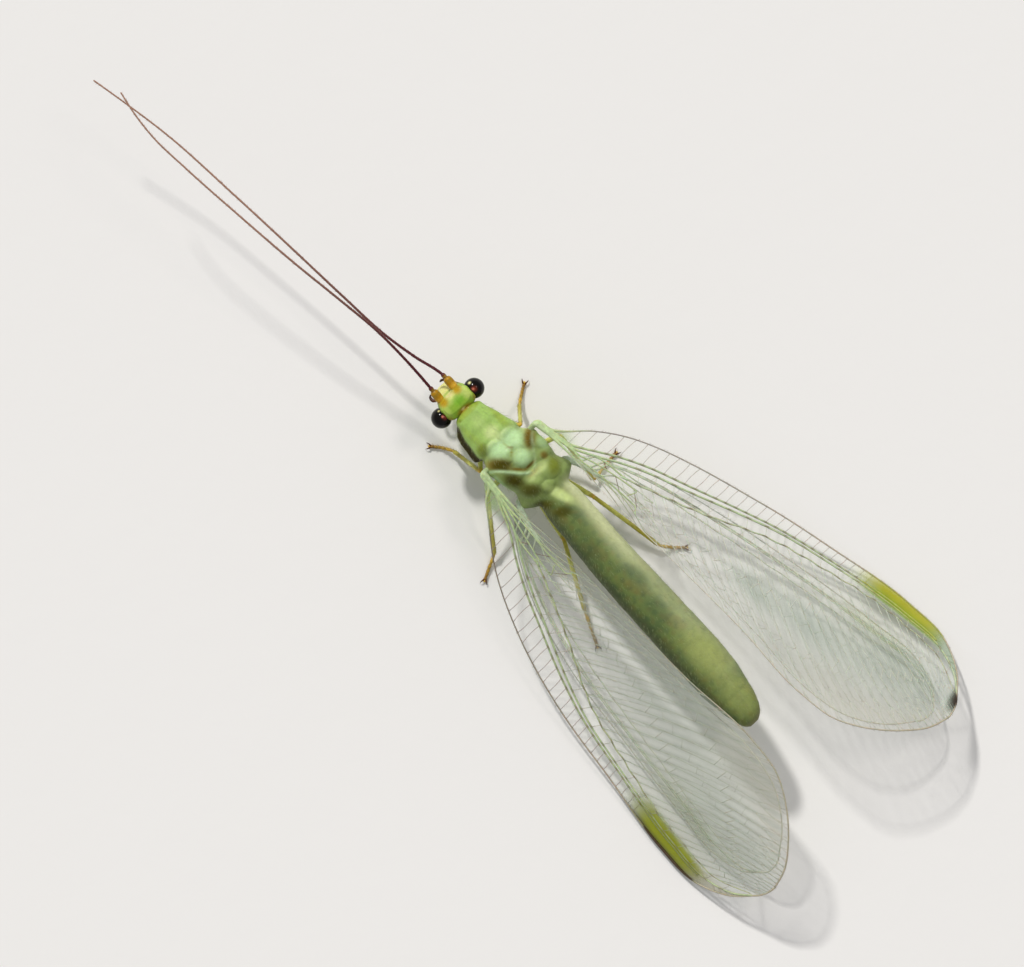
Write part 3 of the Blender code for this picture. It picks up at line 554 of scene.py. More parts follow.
# Meshes
class Pile:
    """Points, faces, tints and patches of many small shapes that make one mesh."""

    def __init__(self):
        self.points = []
        self.faces = []
        self.tints = []
        self.patches = []
        self.count = 0

    def add(self, points, faces, tint, patch=None):
        points = np.asarray(points, dtype=float)
        self.points.append(points)
        self.faces.extend([tuple(corner + self.count for corner in face) for face in faces])
        self.tints.append(np.broadcast_to(tint, (len(points), 4)))
        if patch is not None:
            self.patches.append(np.broadcast_to(patch, (len(points), 2)))
        self.count += len(points)

    def make(self, name, material):
        points = np.vstack(self.points)
        patches = np.vstack(self.patches) if self.patches else None
        return make_piece(name, points, self.faces, np.vstack(self.tints), material, patches)


def make_piece(name, points, faces, tints, material, patches=None):
    """A mesh object from points in millimetres with its tint attribute, shaded smooth."""
    mesh = bpy.data.meshes.new(name)
    mesh.from_pydata(((points - ORIGIN) * MM).tolist(), [], faces)
    add_tint(mesh, tints)
    if patches is not None:
        layer = mesh.uv_layers.new(name="OFBake")
        corners = np.zeros(len(mesh.loops), dtype=np.int32)
        mesh.loops.foreach_get("vertex_index", corners)
        layer.data.foreach_set("uv", patches[corners].astype(np.float32).ravel())
    mesh.shade_smooth()
    mesh.materials.append(material)
    return add_object(name, mesh)


def add_object(name, data):
    item = bpy.data.objects.new(name, data)
    bpy.context.scene.collection.objects.link(item)
    return item


def add_tint(mesh, tints):
    layer = mesh.color_attributes.new("tint", "FLOAT_COLOR", "POINT")
    layer.data.foreach_set("color", np.asarray(tints, dtype=np.float32).ravel())


def tube(path, radii, sides):
    """Points and faces of a closed tube along a path."""
    path = np.asarray(path, dtype=float)
    radii = np.broadcast_to(radii, (len(path),))
    along = unit(np.gradient(path, axis=0))
    reference = np.array((0.0, 0.0, 1.0)) if abs(np.mean(along[:, 2])) < 0.8 else np.array((0.0, 1.0, 0.0))
    across = unit(np.cross(along, reference))
    upward = np.cross(across, along)
    return swept(path, radii, across, upward, sides)


def swept(path, radii, across, upward, sides):
    """Points and faces of a closed tube whose rings lie across its path."""
    angles = ring_angles(sides)[None, :, None]
    spokes = np.cos(angles) * across[:, None, :] + np.sin(angles) * upward[:, None, :]
    points = path[:, None, :] + radii[:, None, None] * spokes
    return points.reshape(-1, 3), tube_faces(len(path), sides)


def ring_angles(sides):
    return 2 * math.pi * np.arange(sides) / sides


def tube_faces(rings, sides):
    faces = []
    for r in range(rings - 1):
        for k in range(sides):
            n = (k + 1) % sides
            faces.append((r * sides + k, (r + 1) * sides + k, (r + 1) * sides + n, r * sides + n))
    faces.append(tuple(range(sides)))
    faces.append(tuple((rings - 1) * sides + k for k in range(sides - 1, -1, -1)))
    return faces


def ring_tints(tints, sides):
    return np.repeat(np.asarray(tints), sides, axis=0)


# Materials
def new_material(name):
    material = bpy.data.materials.new(name)
    material.use_nodes = True
    tree = material.node_tree
    return material, tree, tree.nodes["Principled BSDF"]


def node(tree, kind, inputs=(), **settings):
    made = tree.nodes.new(kind)
    for key, value in settings.items():
        setattr(made, key, value)
    for key, value in dict(inputs).items():
        made.inputs[key].default_value = value
    return made


def tint_node(tree):
    return node(tree, "ShaderNodeAttribute", attribute_name="tint")


def noise_node(tree, scale, detail, roughness):
    coordinates = node(tree, "ShaderNodeTexCoord")
    noise = node(tree, "ShaderNodeTexNoise", {"Scale": scale, "Detail": detail, "Roughness": roughness})
    tree.links.new(coordinates.outputs["Object"], noise.inputs["Vector"])
    return noise


def tinted_material(name, values, grains=()):
    """A material coloured by the tint, mottled by grains of (scale, darkest, lightest)."""
    material, tree, shader = new_material(name)
    colour = tint_node(tree).outputs["Color"]
    for grain in grains:
        colour = mottled(tree, colour, *grain)
    tree.links.new(colour, shader.inputs["Base Color"])
    for socket, value in values.items():
        shader.inputs[socket].default_value = value
    return material, tree, shader


def mottled(tree, tint, scale, low, high):
    """The tint made lighter and darker by noise of about 1 / scale metres."""
    reach = {"From Min": 0.3, "From Max": 0.7, "To Min": low, "To Max": high}
    spread = node(tree, "ShaderNodeMapRange", reach)
    tree.links.new(noise_node(tree, scale, 4.0, 0.6).outputs["Fac"], spread.inputs["Value"])
    product = node(tree, "ShaderNodeVectorMath", operation="MULTIPLY")
    tree.links.new(tint, product.inputs[0])
    tree.links.new(spread.outputs["Result"], product.inputs[1])
    return product.outputs["Vector"]


def bumped(tree, shader, height, strength, distance, **settings):
    """Fine relief read from the height socket, with its depth in millimetres."""
    bump = node(tree, "ShaderNodeBump", {"Strength": strength, "Distance": distance * MM}, **settings)
    tree.links.new(height, bump.inputs["Height"])
    tree.links.new(bump.outputs["Normal"], shader.inputs["Normal"])


def grained(tree, shader, scale, strength, distance):
    bumped(tree, shader, noise_node(tree, scale, 3.0, 0.55).outputs["Fac"], strength, distance)


def cuticle_material():
    """Soft, slightly translucent cuticle."""
    material, tree, shader = tinted_material("cuticle", {
        "Roughness": 0.5, "Specular IOR Level": 0.12, "Coat Weight": 0.04, "Coat Roughness": 0.18,
        "Subsurface Weight": 0.3, "Subsurface Radius": (0.9, 1.0, 0.45), "Subsurface Scale": 0.12 * MM,
    }, ((4200.0, 0.9, 1.1), (17000.0, 0.95, 1.05)))
    grained(tree, shader, 26000.0, 0.45, 0.012)
    return material


def limb_material():
    material, tree, shader = tinted_material("limb", {
        "Roughness": 0.38, "Specular IOR Level": 0.25,
        "Subsurface Weight": 0.25, "Subsurface Radius": (1.0, 0.9, 0.4), "Subsurface Scale": 0.08 * MM,
    }, ((12000.0, 0.82, 1.15),))
    grained(tree, shader, 60000.0, 0.35, 0.006)
    return material


def hair_material():
    return tinted_material("hair", {"Roughness": 0.42})[0]


def vein_material():
    values = {"Roughness": 0.36, "Subsurface Weight": 0.2, "Subsurface Scale": 0.06 * MM}
    return tinted_material("vein", values, ((9000.0, 0.75, 1.12),))[0]


def membrane_material():
    """Clear membrane: the tint's alpha is how much of it shows."""
    values = {"Roughness": 0.2, "IOR": 1.5}
    material, tree, shader = tinted_material("membrane", values, ((1400.0, 0.9, 1.1),))
    tree.links.new(tint_node(tree).outputs["Alpha"], shader.inputs["Alpha"])
    grained(tree, shader, 9000.0, 0.25, 0.01)
    return material


def eye_material():
    """Dark, glossy facets."""
    values = {"Roughness": 0.14, "Specular IOR Level": 0.17}
    material, tree, shader = tinted_material("compound eye", values, ((9000.0, 0.6, 1.4),))
    facets = node(tree, "ShaderNodeTexVoronoi", {"Scale": 46000.0, "Randomness": 0.35})
    coordinates = node(tree, "ShaderNodeTexCoord")
    tree.links.new(coordinates.outputs["Object"], facets.inputs["Vector"])
    bumped(tree, shader, facets.outputs["Distance"], 0.25, 0.004, invert=True)
    return material


def floor_material():
    material, tree, shader = new_material("pale floor")
    shader.inputs["Base Color"].default_value = (0.83, 0.82, 0.80, 1.0)
    shader.inputs["Roughness"].default_value = 0.85
    grained(tree, shader, 900.0, 0.15, 0.05)
    return material


# Body skin
def body_profile(y):
    """Half width, bottom, top and squareness of the body's sections at each y, softened."""
    table = np.array(BODY_SECTIONS)
    fine = np.linspace(table[0, 0] - 0.4, table[-1, 0] + 0.4, 6000)
    step = fine[1] - fine[0]
    reach = int(3 * SECTION_SOFTNESS / step)
    kernel = np.exp(-0.5 * (np.arange(-reach, reach + 1) * step / SECTION_SOFTNESS) ** 2)
    kernel /= kernel.sum()
    columns = []
    for column in range(1, table.shape[1]):
        values = np.interp(fine, table[:, 0], table[:, column])
        soft = np.convolve(np.pad(values, reach, mode="edge"), kernel, mode="valid")
        columns.append(np.interp(y, fine, soft))
    return columns


def ring_phase(y):
    """Place within its abdominal ring, from 0 at the front to 1."""
    return (y - ABDOMEN_START) / (ABDOMEN_END - ABDOMEN_START) * ABDOMEN_SEGMENTS % 1.0


def lobe_height(off, y):
    """Height of the thorax's lobes, with grooves where they meet."""
    total = np.zeros_like(off)
    for x, along, wide, long, high in THORAX_LOBES:
        inside = np.clip(1 - ((off - x) / wide) ** 2 - ((y - along) / long) ** 2, 0.0, None)
        total += (high * inside ** 0.6) ** 6
    return total ** (1 / 6)


def cord_share(off, y):
    """How near places of the back are to the wings' cords, from 0 to 1."""
    route = even_path(CORD_ROUTE, 30)
    reach = np.hypot(np.abs(off)[:, None] - route[:, 0], y[:, None] - route[:, 1]).min(axis=1)
    return bell(reach, CORD_HALF_WIDTH)


def squared(value, squareness):
    """A sine or cosine for a section that is squarer than an ellipse."""
    return np.sign(value) * np.abs(value) ** (2 / squareness)


def body_surface(y, angle):
    """Points of the skin behind the head, at places along the body and round it."""
    half, bottom, top, square = body_profile(y)
    sine = np.sin(angle)
    across, up = squared(np.cos(angle), square), squared(sine, square)
    centre = (bottom + top) / 2
    tall = (top - bottom) / 2
    phase = ring_phase(y)
    inside = smoothstep(ABDOMEN_START - 0.05, ABDOMEN_START + 0.2, y) * smoothstep(0.1, 0.5, half)
    swell = 0.55 * np.sin(math.pi * phase) ** 0.7 + 0.45 * phase * smoothstep(1.0, 0.93, phase)
    step = ABDOMEN_STEP * inside * (swell - 0.5)
    fold = 0.02 * inside * bell(sine + 0.12, 0.10)
    half = half + step - fold
    tall = tall + step
    off = half * across
    z = centre + tall * up
    topside = smoothstep(0.15, 0.75, sine)
    z = z + lobe_height(off, y) * topside
    plate = smoothstep(0.42, 0.55, y) * smoothstep(1.55, 1.42, y)
    furrow = 0.014 * bell(y - 0.98 - 0.25 * off ** 2, 0.07)
    seam = 0.008 * bell(off, 0.035)
    pits = sum(0.03 * bell(off - x, 0.05) * bell(y - 0.43, 0.05) for x in (-0.31, 0.35))
    z = z - topside * (plate * (furrow + seam) + pits)
    z = z + CORD_HEIGHT * cord_share(off, y) * topside
    push = sum(h * bell(y - sy, wy) * bell(z - sz, wz) for sy, sz, wy, wz, h in WING_SEATS)
    off = off + np.sign(off) * push * np.minimum(1.0, np.abs(off) / 0.6) ** 3
    edge = smoothstep(0.36, 0.70, y) * smoothstep(1.68, 1.54, y) * smoothstep(0.0, 0.3, off)
    off = off + LEFT_EDGE_OUT * edge * bell(z - LEFT_EDGE_Z, LEFT_EDGE_TALL)
    return np.stack((off + middle(y), y, z), axis=-1)


def body_object():
    y = np.linspace(BODY_SECTIONS[0][0], BODY_SECTIONS[-1][0], BODY_RINGS)
    grid = body_surface(np.repeat(y, BODY_SIDES), np.tile(ring_angles(BODY_SIDES), BODY_RINGS))
    return plain_object("body", grid, tube_faces(BODY_RINGS, BODY_SIDES))


def head_surface(z, angle):
    """Points of the skull, its sockets, sutures and cheeks, at heights and angles round it."""
    half, front, rear = curve(HEAD_SECTIONS[::-1], z).T
    sine = np.sin(angle)
    x = half * squared(np.cos(angle), HEAD_SQUARENESS)
    y = (front + rear) / 2 + (rear - front) / 2 * squared(sine, HEAD_SQUARENESS)
    front_side = smoothstep(0.1, -0.6, sine)
    for socket_x, socket_z in ((0.30, 2.05), (-0.22, 2.01)):
        reach = np.hypot(x - socket_x, z - socket_z)
        y = y - front_side * 0.07 * bell(reach - 0.12, 0.05)
    for height, depth in ((1.66, 0.02), (1.27, 0.04)):
        y = y + front_side * depth * bell(z - height - 0.12 * x ** 2, 0.035)
    y = y - front_side * 0.05 * bell(x, 0.16) * bell(z - 1.46, 0.12)
    return np.stack((x + HEAD_MIDDLE, y, z), axis=-1)


def head_object():
    share = 0.5 - 0.5 * np.cos(np.linspace(0.0, math.pi, HEAD_LEVELS))
    z = HEAD_SECTIONS[-1][0] + (HEAD_SECTIONS[0][0] - HEAD_SECTIONS[-1][0]) * share
    grid = head_surface(np.repeat(z, HEAD_SIDES), np.tile(ring_angles(HEAD_SIDES), HEAD_LEVELS))
    crown = smoothstep(2.1, 2.4, grid[:, 2])
    grid[:, 2] -= crown * 0.008 * bell(grid[:, 0] - HEAD_MIDDLE, 0.03)
    return plain_object("skull", grid, tube_faces(HEAD_LEVELS, HEAD_SIDES))


def plain_object(name, points, faces):
    """A mesh object that still holds millimetres, for Booleans."""
    mesh = bpy.data.meshes.new(name)
    mesh.from_pydata(points.tolist(), [], faces)
    mesh.validate()
    face_outward(mesh)
    return add_object(name, mesh)


def face_outward(mesh):
    """Turns the faces out if the mesh's volume comes out negative."""
    mesh.calc_loop_triangles()
    corners = np.zeros(3 * len(mesh.loop_triangles), dtype=np.int32)
    mesh.loop_triangles.foreach_get("vertices", corners)
    places = np.array([v.co for v in mesh.vertices])
    a, b, c = (places[corners[k::3]] for k in range(3))
    if np.sum(np.einsum("ij,ij->i", a, np.cross(b, c))) < 0:
        mesh.flip_normals()


def skin_tints(points):
    """Colour of the skin at each point, from where it lies on the body."""
    x, y, z = points.T
    off = x - middle(y)
    half, bottom, top, _ = body_profile(y)
    level = (z - (bottom + top) / 2) / ((top - bottom) / 2)
    tints = np.broadcast_to(HEAD_GREEN, (len(points), 4)).copy()
    tints = mix(tints, PRONOTUM_GREEN, smoothstep(0.30, 0.38, y))
    tints = mix(tints, THORAX_GREEN, smoothstep(1.52, 1.62, y))
    tints = mix(tints, ABDOMEN_GREEN, smoothstep(3.3, 3.8, y))
    abdomen = smoothstep(3.4, 3.9, y)
    blotch = np.sin(2.9 * x + 2.3 * y + 0.6) * np.sin(4.7 * x - 1.7 * y + 1.1)
    blotch += 0.5 * np.sin(8.3 * x + 5.1 * y)
    tints = mix(tints, ABDOMEN_BLUE_GREEN, 0.45 * abdomen * smoothstep(0.1, 0.9, blotch))
    tints = mix(tints, ABDOMEN_BROWN, 0.45 * abdomen * smoothstep(-0.1, -0.9, blotch))
    speck = np.sin(11.3 * x + 7.9 * y) * np.sin(8.7 * x - 12.1 * y + 0.7)
    speck += 0.6 * np.sin(21.0 * x + 3.1 * y) * np.sin(17.0 * y)
    tints = mix(tints, ABDOMEN_BROWN, 0.35 * abdomen * smoothstep(0.2, 1.0, speck))
    tints = mix(tints, ABDOMEN_BLUE_GREEN, 0.35 * abdomen * smoothstep(-0.2, -1.0, speck))
    phase = ring_phase(y)
    tints = mix(tints, ABDOMEN_SHADE, 0.10 * abdomen * bell(phase - 0.96, 0.06))
    # Painted light: a pale stripe on the abdomen's right side, which faces the key light. The darker olive on
    # the left side is partly its own colour and partly painted shade.
    lit_flank = bell(off + 0.52, 0.24 + 0.03 * (y - 4.5)) * smoothstep(11.9, 9.8, y)
    lit_flank *= 1 - 0.6 * smoothstep(4.8, 8.0, y)
    tints = mix(tints, ABDOMEN_LIT_FLANK, abdomen * lit_flank * smoothstep(-0.3, 0.2, level))
    tints = mix(tints, ABDOMEN_SHADE, 0.75 * abdomen * smoothstep(0.25, 0.60, off))
    topside = smoothstep(-0.1, 0.45, level)
    head = y < 0.30
    for colour, mark_x, mark_y, wide, long, turn, strength in BACK_MARKS:
        c, s = math.cos(math.radians(turn)), math.sin(math.radians(turn))
        dx, dy = x - mark_x, y - mark_y
        reach = ((c * dx - s * dy) / wide) ** 2 + ((s * dx + c * dy) / long) ** 2
        above = smoothstep(1.75, 1.95, z) if mark_y < 0.30 else topside
        share = strength * np.exp(-reach ** 1.9) * above * (head | (mark_y > 0.2))
        tints = mix(tints, colour, share)
    strength = np.where(off > 0, CORD_TINT[1], CORD_TINT[-1])
    tints = mix(tints, CORD_PALE, strength * cord_share(off, y) * topside)
    # Painted shade on the left side of the prothorax, below the pronotum's edge.
    left_edge_shade = smoothstep(0.95, 1.04, off / half) * smoothstep(0.40, 0.55, y) * smoothstep(1.70, 1.60, y)
    tints = mix(tints, PAINTED_EDGE_SHADE, left_edge_shade * smoothstep(-0.8, -0.4, level))
    belly = smoothstep(-0.2, -0.65, level) * (y > 0.3)
    tints = mix(tints, BELLY_PALE, 0.8 * belly)
    tints = mix(tints, TAIL_BROWN, 0.7 * smoothstep(11.95, 12.2, y))
    return face_tints(points, tints, head)


def face_tints(points, tints, head):
    """Cheek stripes, clypeus and mouth on the head."""
    x, y, z = points.T
    off = x - HEAD_MIDDLE
    low = head * smoothstep(1.85, 1.65, z) * smoothstep(-0.05, -0.3, y)
    tints = mix(tints, FACE_CREAM, 0.9 * low)
    cheek = bell(np.abs(off) - 0.40 + 0.35 * (1.7 - z), 0.06)
    stripe = cheek * smoothstep(1.82, 1.72, z) * smoothstep(1.15, 1.25, z) * (y < 0.0) * head
    tints = mix(tints, PALP_DARK, 0.8 * stripe)
    rear = head * smoothstep(0.12, 0.22, y) * smoothstep(2.3, 2.1, z)
    return mix(tints, DARK_OLIVE, 0.5 * rear)


def body_skin(material):
    """Head, neck, thorax and abdomen as one closed skin."""
    body = body_object()
    skull = head_object()
    union = body.modifiers.new("union", "BOOLEAN")
    union.operation = "UNION"
    union.solver = "EXACT"
    union.object = skull
    depsgraph = bpy.context.evaluated_depsgraph_get()
    mesh = bpy.data.meshes.new_from_object(body.evaluated_get(depsgraph))
    for old in (body, skull):
        bpy.data.objects.remove(old)
    places = np.array([v.co for v in mesh.vertices])
    mesh.vertices.foreach_set("co", ((places - ORIGIN) * MM).astype(np.float32).ravel())
    add_tint(mesh, skin_tints(places))
    mesh.materials.clear()
    mesh.materials.append(material)
    mesh.shade_smooth()
    return add_object("body_skin", mesh)


# Hairs
def hair_pile(pile, roots, directions, lengths, radius, tint, patches, droop=0.25):
    """Adds thin, curved, pointed hairs, each one closed shape with its own small patch."""
    sides = 3
    angles = ring_angles(sides)
    circle = np.column_stack((np.cos(angles), np.sin(angles)))
    spots = np.vstack((0.0015 * circle, 0.0008 * circle, np.zeros((1, 2))))
    for root, direction, length, patch in zip(roots, directions, lengths, patches):
        reference = np.array((0.0, 0.0, 1.0)) if abs(direction[2]) < 0.9 else np.array((1.0, 0.0, 0.0))
        across = unit(np.cross(direction, reference))
        upward = np.cross(across, direction)
        spokes = np.cos(angles)[:, None] * across + np.sin(angles)[:, None] * upward
        bend = upward * droop * length
        base = root - 0.15 * length * direction
        mid = root + 0.5 * length * direction - 0.3 * bend
        tip = root + length * direction - bend
        points = np.vstack((base + radius * spokes, mid + 0.7 * radius * spokes, tip[None, :]))
        faces = [(k, (k + 1) % sides, sides + (k + 1) % sides, sides + k) for k in range(sides)]
        faces += [(sides + k, sides + (k + 1) % sides, 2 * sides) for k in range(sides)]
        faces.append((2, 1, 0))
        pile.add(points, faces, tint, np.asarray(patch) + spots)


def spokes_round(along, reference, angle):
    """Directions across a line, turned round it by an angle."""
    across = unit(np.cross(along, np.array(reference)))
    return np.cos(angle)[:, None] * across + np.sin(angle)[:, None] * np.cross(across, along)


def body_hairs(material, random):
    """Short pale hairs that lie back along the body."""
    pile = Pile()
    count = BODY_HAIRS
    y = random.uniform(0.45, 12.1, count)
    angle = random.uniform(-0.5, math.pi + 0.5, count)
    step = 0.004
    roots = body_surface(y, angle)
    along = unit(body_surface(y + step, angle) - roots)
    around = unit(body_surface(y, angle + step) - roots)
    normal = unit(np.cross(around, along))
    outward = roots - np.column_stack((middle(y), y, np.full(count, 2.0)))
    normal *= np.sign(np.einsum("ij,ij->i", normal, outward))[:, None]
    lift = normal * random.uniform(0.45, 0.9, count)[:, None]
    lean = unit(lift + along + 0.25 * random.normal(size=(count, 3)))
    long = np.where(y < 3.6, 0.15, 0.11) * random.uniform(0.6, 1.25, count)
    patches = np.column_stack(((y + 1.0) / 14.0, (angle % (2 * math.pi)) / (2 * math.pi)))
    hair_pile(pile, roots, lean, long, FINE_HAIR, HAIR_PALE, patches)
    return pile.make("body_hairs", material)


# Eyes
def eye(name, material):
    """A glossy globe of small facets, seated in the head."""
    rings, sides = EYE_RINGS, EYE_SIDES
    centre = np.array(EYE_CENTRES[name])
    outward = 1.0 if centre[0] > 0 else -1.0
    share = np.linspace(0.02, math.pi - 0.02, rings)
    t, a = np.repeat(share, sides), np.tile(ring_angles(sides), rings)
    ball = np.stack((outward * np.cos(t), np.sin(t) * np.cos(a), np.sin(t) * np.sin(a)), axis=-1)
    points = centre + ball * EYE_RADII
    # Painted reflection: the lower part of each eye is tinted olive; EYE_GLINTS adds painted highlights and
    # reflections.
    tints = mix(EYE_BLACK, EYE_RIM_REFLECTION, smoothstep(0.5, 0.1, ball[:, 2]))
    for direction, colour, size in EYE_GLINTS[name]:
        away = np.linalg.norm(ball - unit(np.array(direction)), axis=1)
        tints = mix(tints, colour, bell(away, size, 3))
    piece = make_piece(name + "_globe", points, tube_faces(rings, sides), tints, material)
    face_outward(piece.data)
    return piece


# Antennae and mouthparts
def antenna(name, material):
    """Golden scape, brown pedicel and a long ringed flagellum."""
    route = even_path(ANTENNA_ROUTES[name], 160)
    travel = lengths_along(route)
    places, radii, tints = (list(column) for column in zip(*ANTENNA_BASE))
    end = travel[-1]
    start = PEDICEL_END + 0.02
    thick, thin = FLAGELLUM_RADII
    rings = int((end - start) / FLAGELLUM_RING)
    for n in range(rings):
        for part, share in ((0.0, 0.84), (0.12, 1.0), (0.55, 1.0), (0.88, 1.04)):
            at = start + (n + part) * (end - start) / rings
            along = (at - start) / (end - start)
            places.append(at)
            radii.append(share * (thick + (thin - thick) * along ** 0.7))
            dark = FLAGELLUM_DARK * (0.75 if part == 0.0 else 1.0)
            tints.append(mix(dark, FLAGELLUM_BROWN, smoothstep(0.05, 0.65, along)))
    places.append(end)
    radii.append(0.3 * thin)
    tints.append(FLAGELLUM_BROWN)
    points, faces = tube(between(places, travel, route), np.array(radii), ANTENNA_SIDES)
    return make_piece(name + "_rings", points, faces, ring_tints(tints, ANTENNA_SIDES), material)


def antenna_hairs(name, material, random):
    """Fine bristles that lean forward along the flagellum."""
    pile = Pile()
    route = even_path(ANTENNA_ROUTES[name], 400)
    travel = lengths_along(route)
    count = ANTENNA_HAIRS
    at = random.uniform(PEDICEL_END + 0.1, travel[-1] - 0.05, count)
    roots = between(at, travel, route)
    forward = between(at, travel, unit(np.gradient(route, axis=0)))
    angle = random.uniform(0, 2 * math.pi, count)
    spoke = spokes_round(forward, (0.0, 0.0, 1.0), angle)
    thick = np.interp(at / travel[-1], (0.0, 1.0), FLAGELLUM_RADII)
    lean = unit(forward + 0.9 * spoke)
    patches = np.column_stack((at / travel[-1], angle / (2 * math.pi)))
    roots = roots + 0.8 * thick[:, None] * spoke
    lengths = random.uniform(0.05, 0.085, count)
    hair_pile(pile, roots, lean, lengths, ANTENNA_HAIR, FLAGELLUM_BROWN, patches, 0.0)
    return pile.make(name + "_hairs", material)


def mouthparts(material):
    """Mandibles and jointed palps below the face."""
    pile = Pile()
    for path, radii, first, last in MOUTHPARTS:
        count = 6 * (len(path) - 1) + 1
        fine = even_path(path, count)
        share = np.linspace(0, 1, count)
        thick = np.interp(share, np.linspace(0, 1, len(radii)), radii)
        joint = 1 - 0.22 * np.exp(-((share * (len(path) - 1)) % 1.0 / 0.12) ** 2)
        points, faces = tube(fine, thick * joint, 12)
        pile.add(points, faces, ring_tints(mix(first, last, smoothstep(0.35, 0.9, share)), 12))
    return pile.make("mouthparts", material)


# Legs
def rounded(points, radius, steps=6):
    """A polyline whose inner corners are small arcs."""
    points = [np.array(p, dtype=float) for p in points]
    path = [points[0]]
    for before, corner, after in zip(points, points[1:], points[2:]):
        reach = min(radius, 0.4 * np.linalg.norm(before - corner), 0.4 * np.linalg.norm(after - corner))
        start = corner + reach * unit(before - corner)
        end = corner + reach * unit(after - corner)
        for t in np.linspace(0.0, 1.0, steps):
            path.append((1 - t) ** 2 * start + 2 * t * (1 - t) * corner + t * t * end)
    path.append(points[-1])
    return np.array(path)


def leg_line(joints):
    """The leg's smooth centre line, and the lengths along it of trochanter, knee, ankle and tip."""
    hip, trochanter, knee, ankle, mid_foot, tip = (np.array(p) for p in joints)
    inside = hip + np.array((0.0, 0.0, 0.32))
    corners = (inside, hip, trochanter, knee, ankle, mid_foot, tip)
    line = rounded(corners, 0.11)
    travel = lengths_along(line)
    nearest = [np.argmin(np.linalg.norm(line - corner, axis=1)) for corner in (trochanter, knee, ankle)]
    marks = [travel[k] for k in nearest]
    return line, travel, (*marks, travel[-1])


def leg_stations(name, marks):
    """(length along, radius, colour) down the leg."""
    trochanter, knee, ankle, tip = marks
    hind = 1.1 if "hind" in name else 1.0
    femur, tibia, foot = knee - trochanter, ankle - knee, tip - ankle
    stations = [
        (0.0, 0.15, LEG_PALE), (0.6 * trochanter, 0.16, LEG_PALE), (trochanter - 0.12, 0.12, LEG_PALE),
        (trochanter - 0.03, 0.075, LEG_OLIVE), (trochanter + 0.05, 0.088, LEG_PALE),
        (trochanter + 0.13, 0.062, LEG_OLIVE), (trochanter + 0.3 * femur, 0.082 * hind, LEG_PALE),
        (trochanter + 0.65 * femur, 0.078 * hind, LEG_PALE),
        (knee - 0.12, 0.066, LEG_PALE), (knee - 0.04, 0.072, LEG_OLIVE), (knee + 0.02, 0.056, FOOT_GOLD),
        (knee + 0.10, 0.058, LEG_OLIVE), (knee + 0.35 * tibia, 0.058 * hind, LEG_PALE),
        (knee + 0.7 * tibia, 0.055 * hind, LEG_OLIVE), (ankle - 0.06, 0.062, LEG_OLIVE),
        (ankle, 0.04, FOOT_GOLD),
    ]
    for k, (first, last) in enumerate(zip(FOOT_JOINTS, FOOT_JOINTS[1:])):
        colour = mix(FOOT_GOLD, CLAW_BROWN, 0.16 * k)
        start, end = ankle + first * foot, ankle + last * foot
        stations.append((start + 0.15 * (end - start), 0.036, colour * 0.8))
        stations.append((start + 0.80 * (end - start), 0.052, colour))
        stations.append((start + 0.96 * (end - start), 0.046, colour * 0.8))
    stations.append((tip, 0.02, CLAW_BROWN))
    return stations


def leg(name, material):
    """Coxa to last foot joint as one continuous limb."""
    line, travel, marks = leg_line(LEGS[name])
    stations = leg_stations(name, marks)
    at = np.linspace(0.0, travel[-1], LEG_RINGS)
    places, radii, colours = zip(*stations)
    radii = np.interp(at, places, radii)
    radii = np.convolve(np.pad(radii, 1, mode="edge"), (0.25, 0.5, 0.25), mode="valid")
    radii[0] *= 0.6
    points, faces = leg_tube(between(at, travel, line), radii, LEG_SIDES)
    points[:, 2] = np.maximum(points[:, 2], 0.004)
    tints = ring_tints(between(at, places, colours), LEG_SIDES)
    return make_piece(name + "_limb", points, faces, tints, material)


def leg_tube(path, radii, sides):
    """A tube whose rings are carried along the path without twisting."""
    along = unit(np.gradient(path, axis=0))
    across = np.zeros_like(path)
    across[0] = unit(np.cross(along[0], np.array((0.0, 1.0, 0.0))))
    for k in range(1, len(path)):
        across[k] = unit(across[k - 1] - along[k] * np.dot(across[k - 1], along[k]))
    return swept(path, radii, across, np.cross(across, along), sides)


def claws(name, material):
    """Two curved claws and the pad between them."""
    pile = Pile()
    mid_foot, tip = (np.array(p) for p in LEGS[name][-2:])
    forward = unit(tip - mid_foot)
    sideways = np.array((-forward[1], forward[0], 0.0))
    for side in (1, -1):
        root = tip - 0.02 * forward + side * 0.018 * sideways
        share = np.linspace(0, 1, CLAW_RINGS)
        t = share[:, None]
        path = root + forward * 0.15 * t + side * sideways * 0.075 * np.sin(1.4 * t)
        path[:, 2] += 0.035 * np.sin(3.1 * share)
        path[-1, 2] = 0.012
        radii = 0.022 * (1 - share ** 1.6) + 0.003
        points, faces = tube(path, radii, 8)
        points[:, 2] = np.maximum(points[:, 2], 0.003)
        pile.add(points, faces, ring_tints(mix(CLAW_BROWN, PALP_DARK, share), 8))
    pad = [tip - 0.01 * forward + forward * 0.08 * t for t in np.linspace(0, 1, 6)]
    points, faces = tube(pad, (0.02, 0.036, 0.042, 0.04, 0.03, 0.01), 10)
    points[:, 2] = np.maximum(points[:, 2] - 0.012, 0.003)
    pile.add(points, faces, FOOT_GOLD)
    return pile.make(name + "_claws", material)


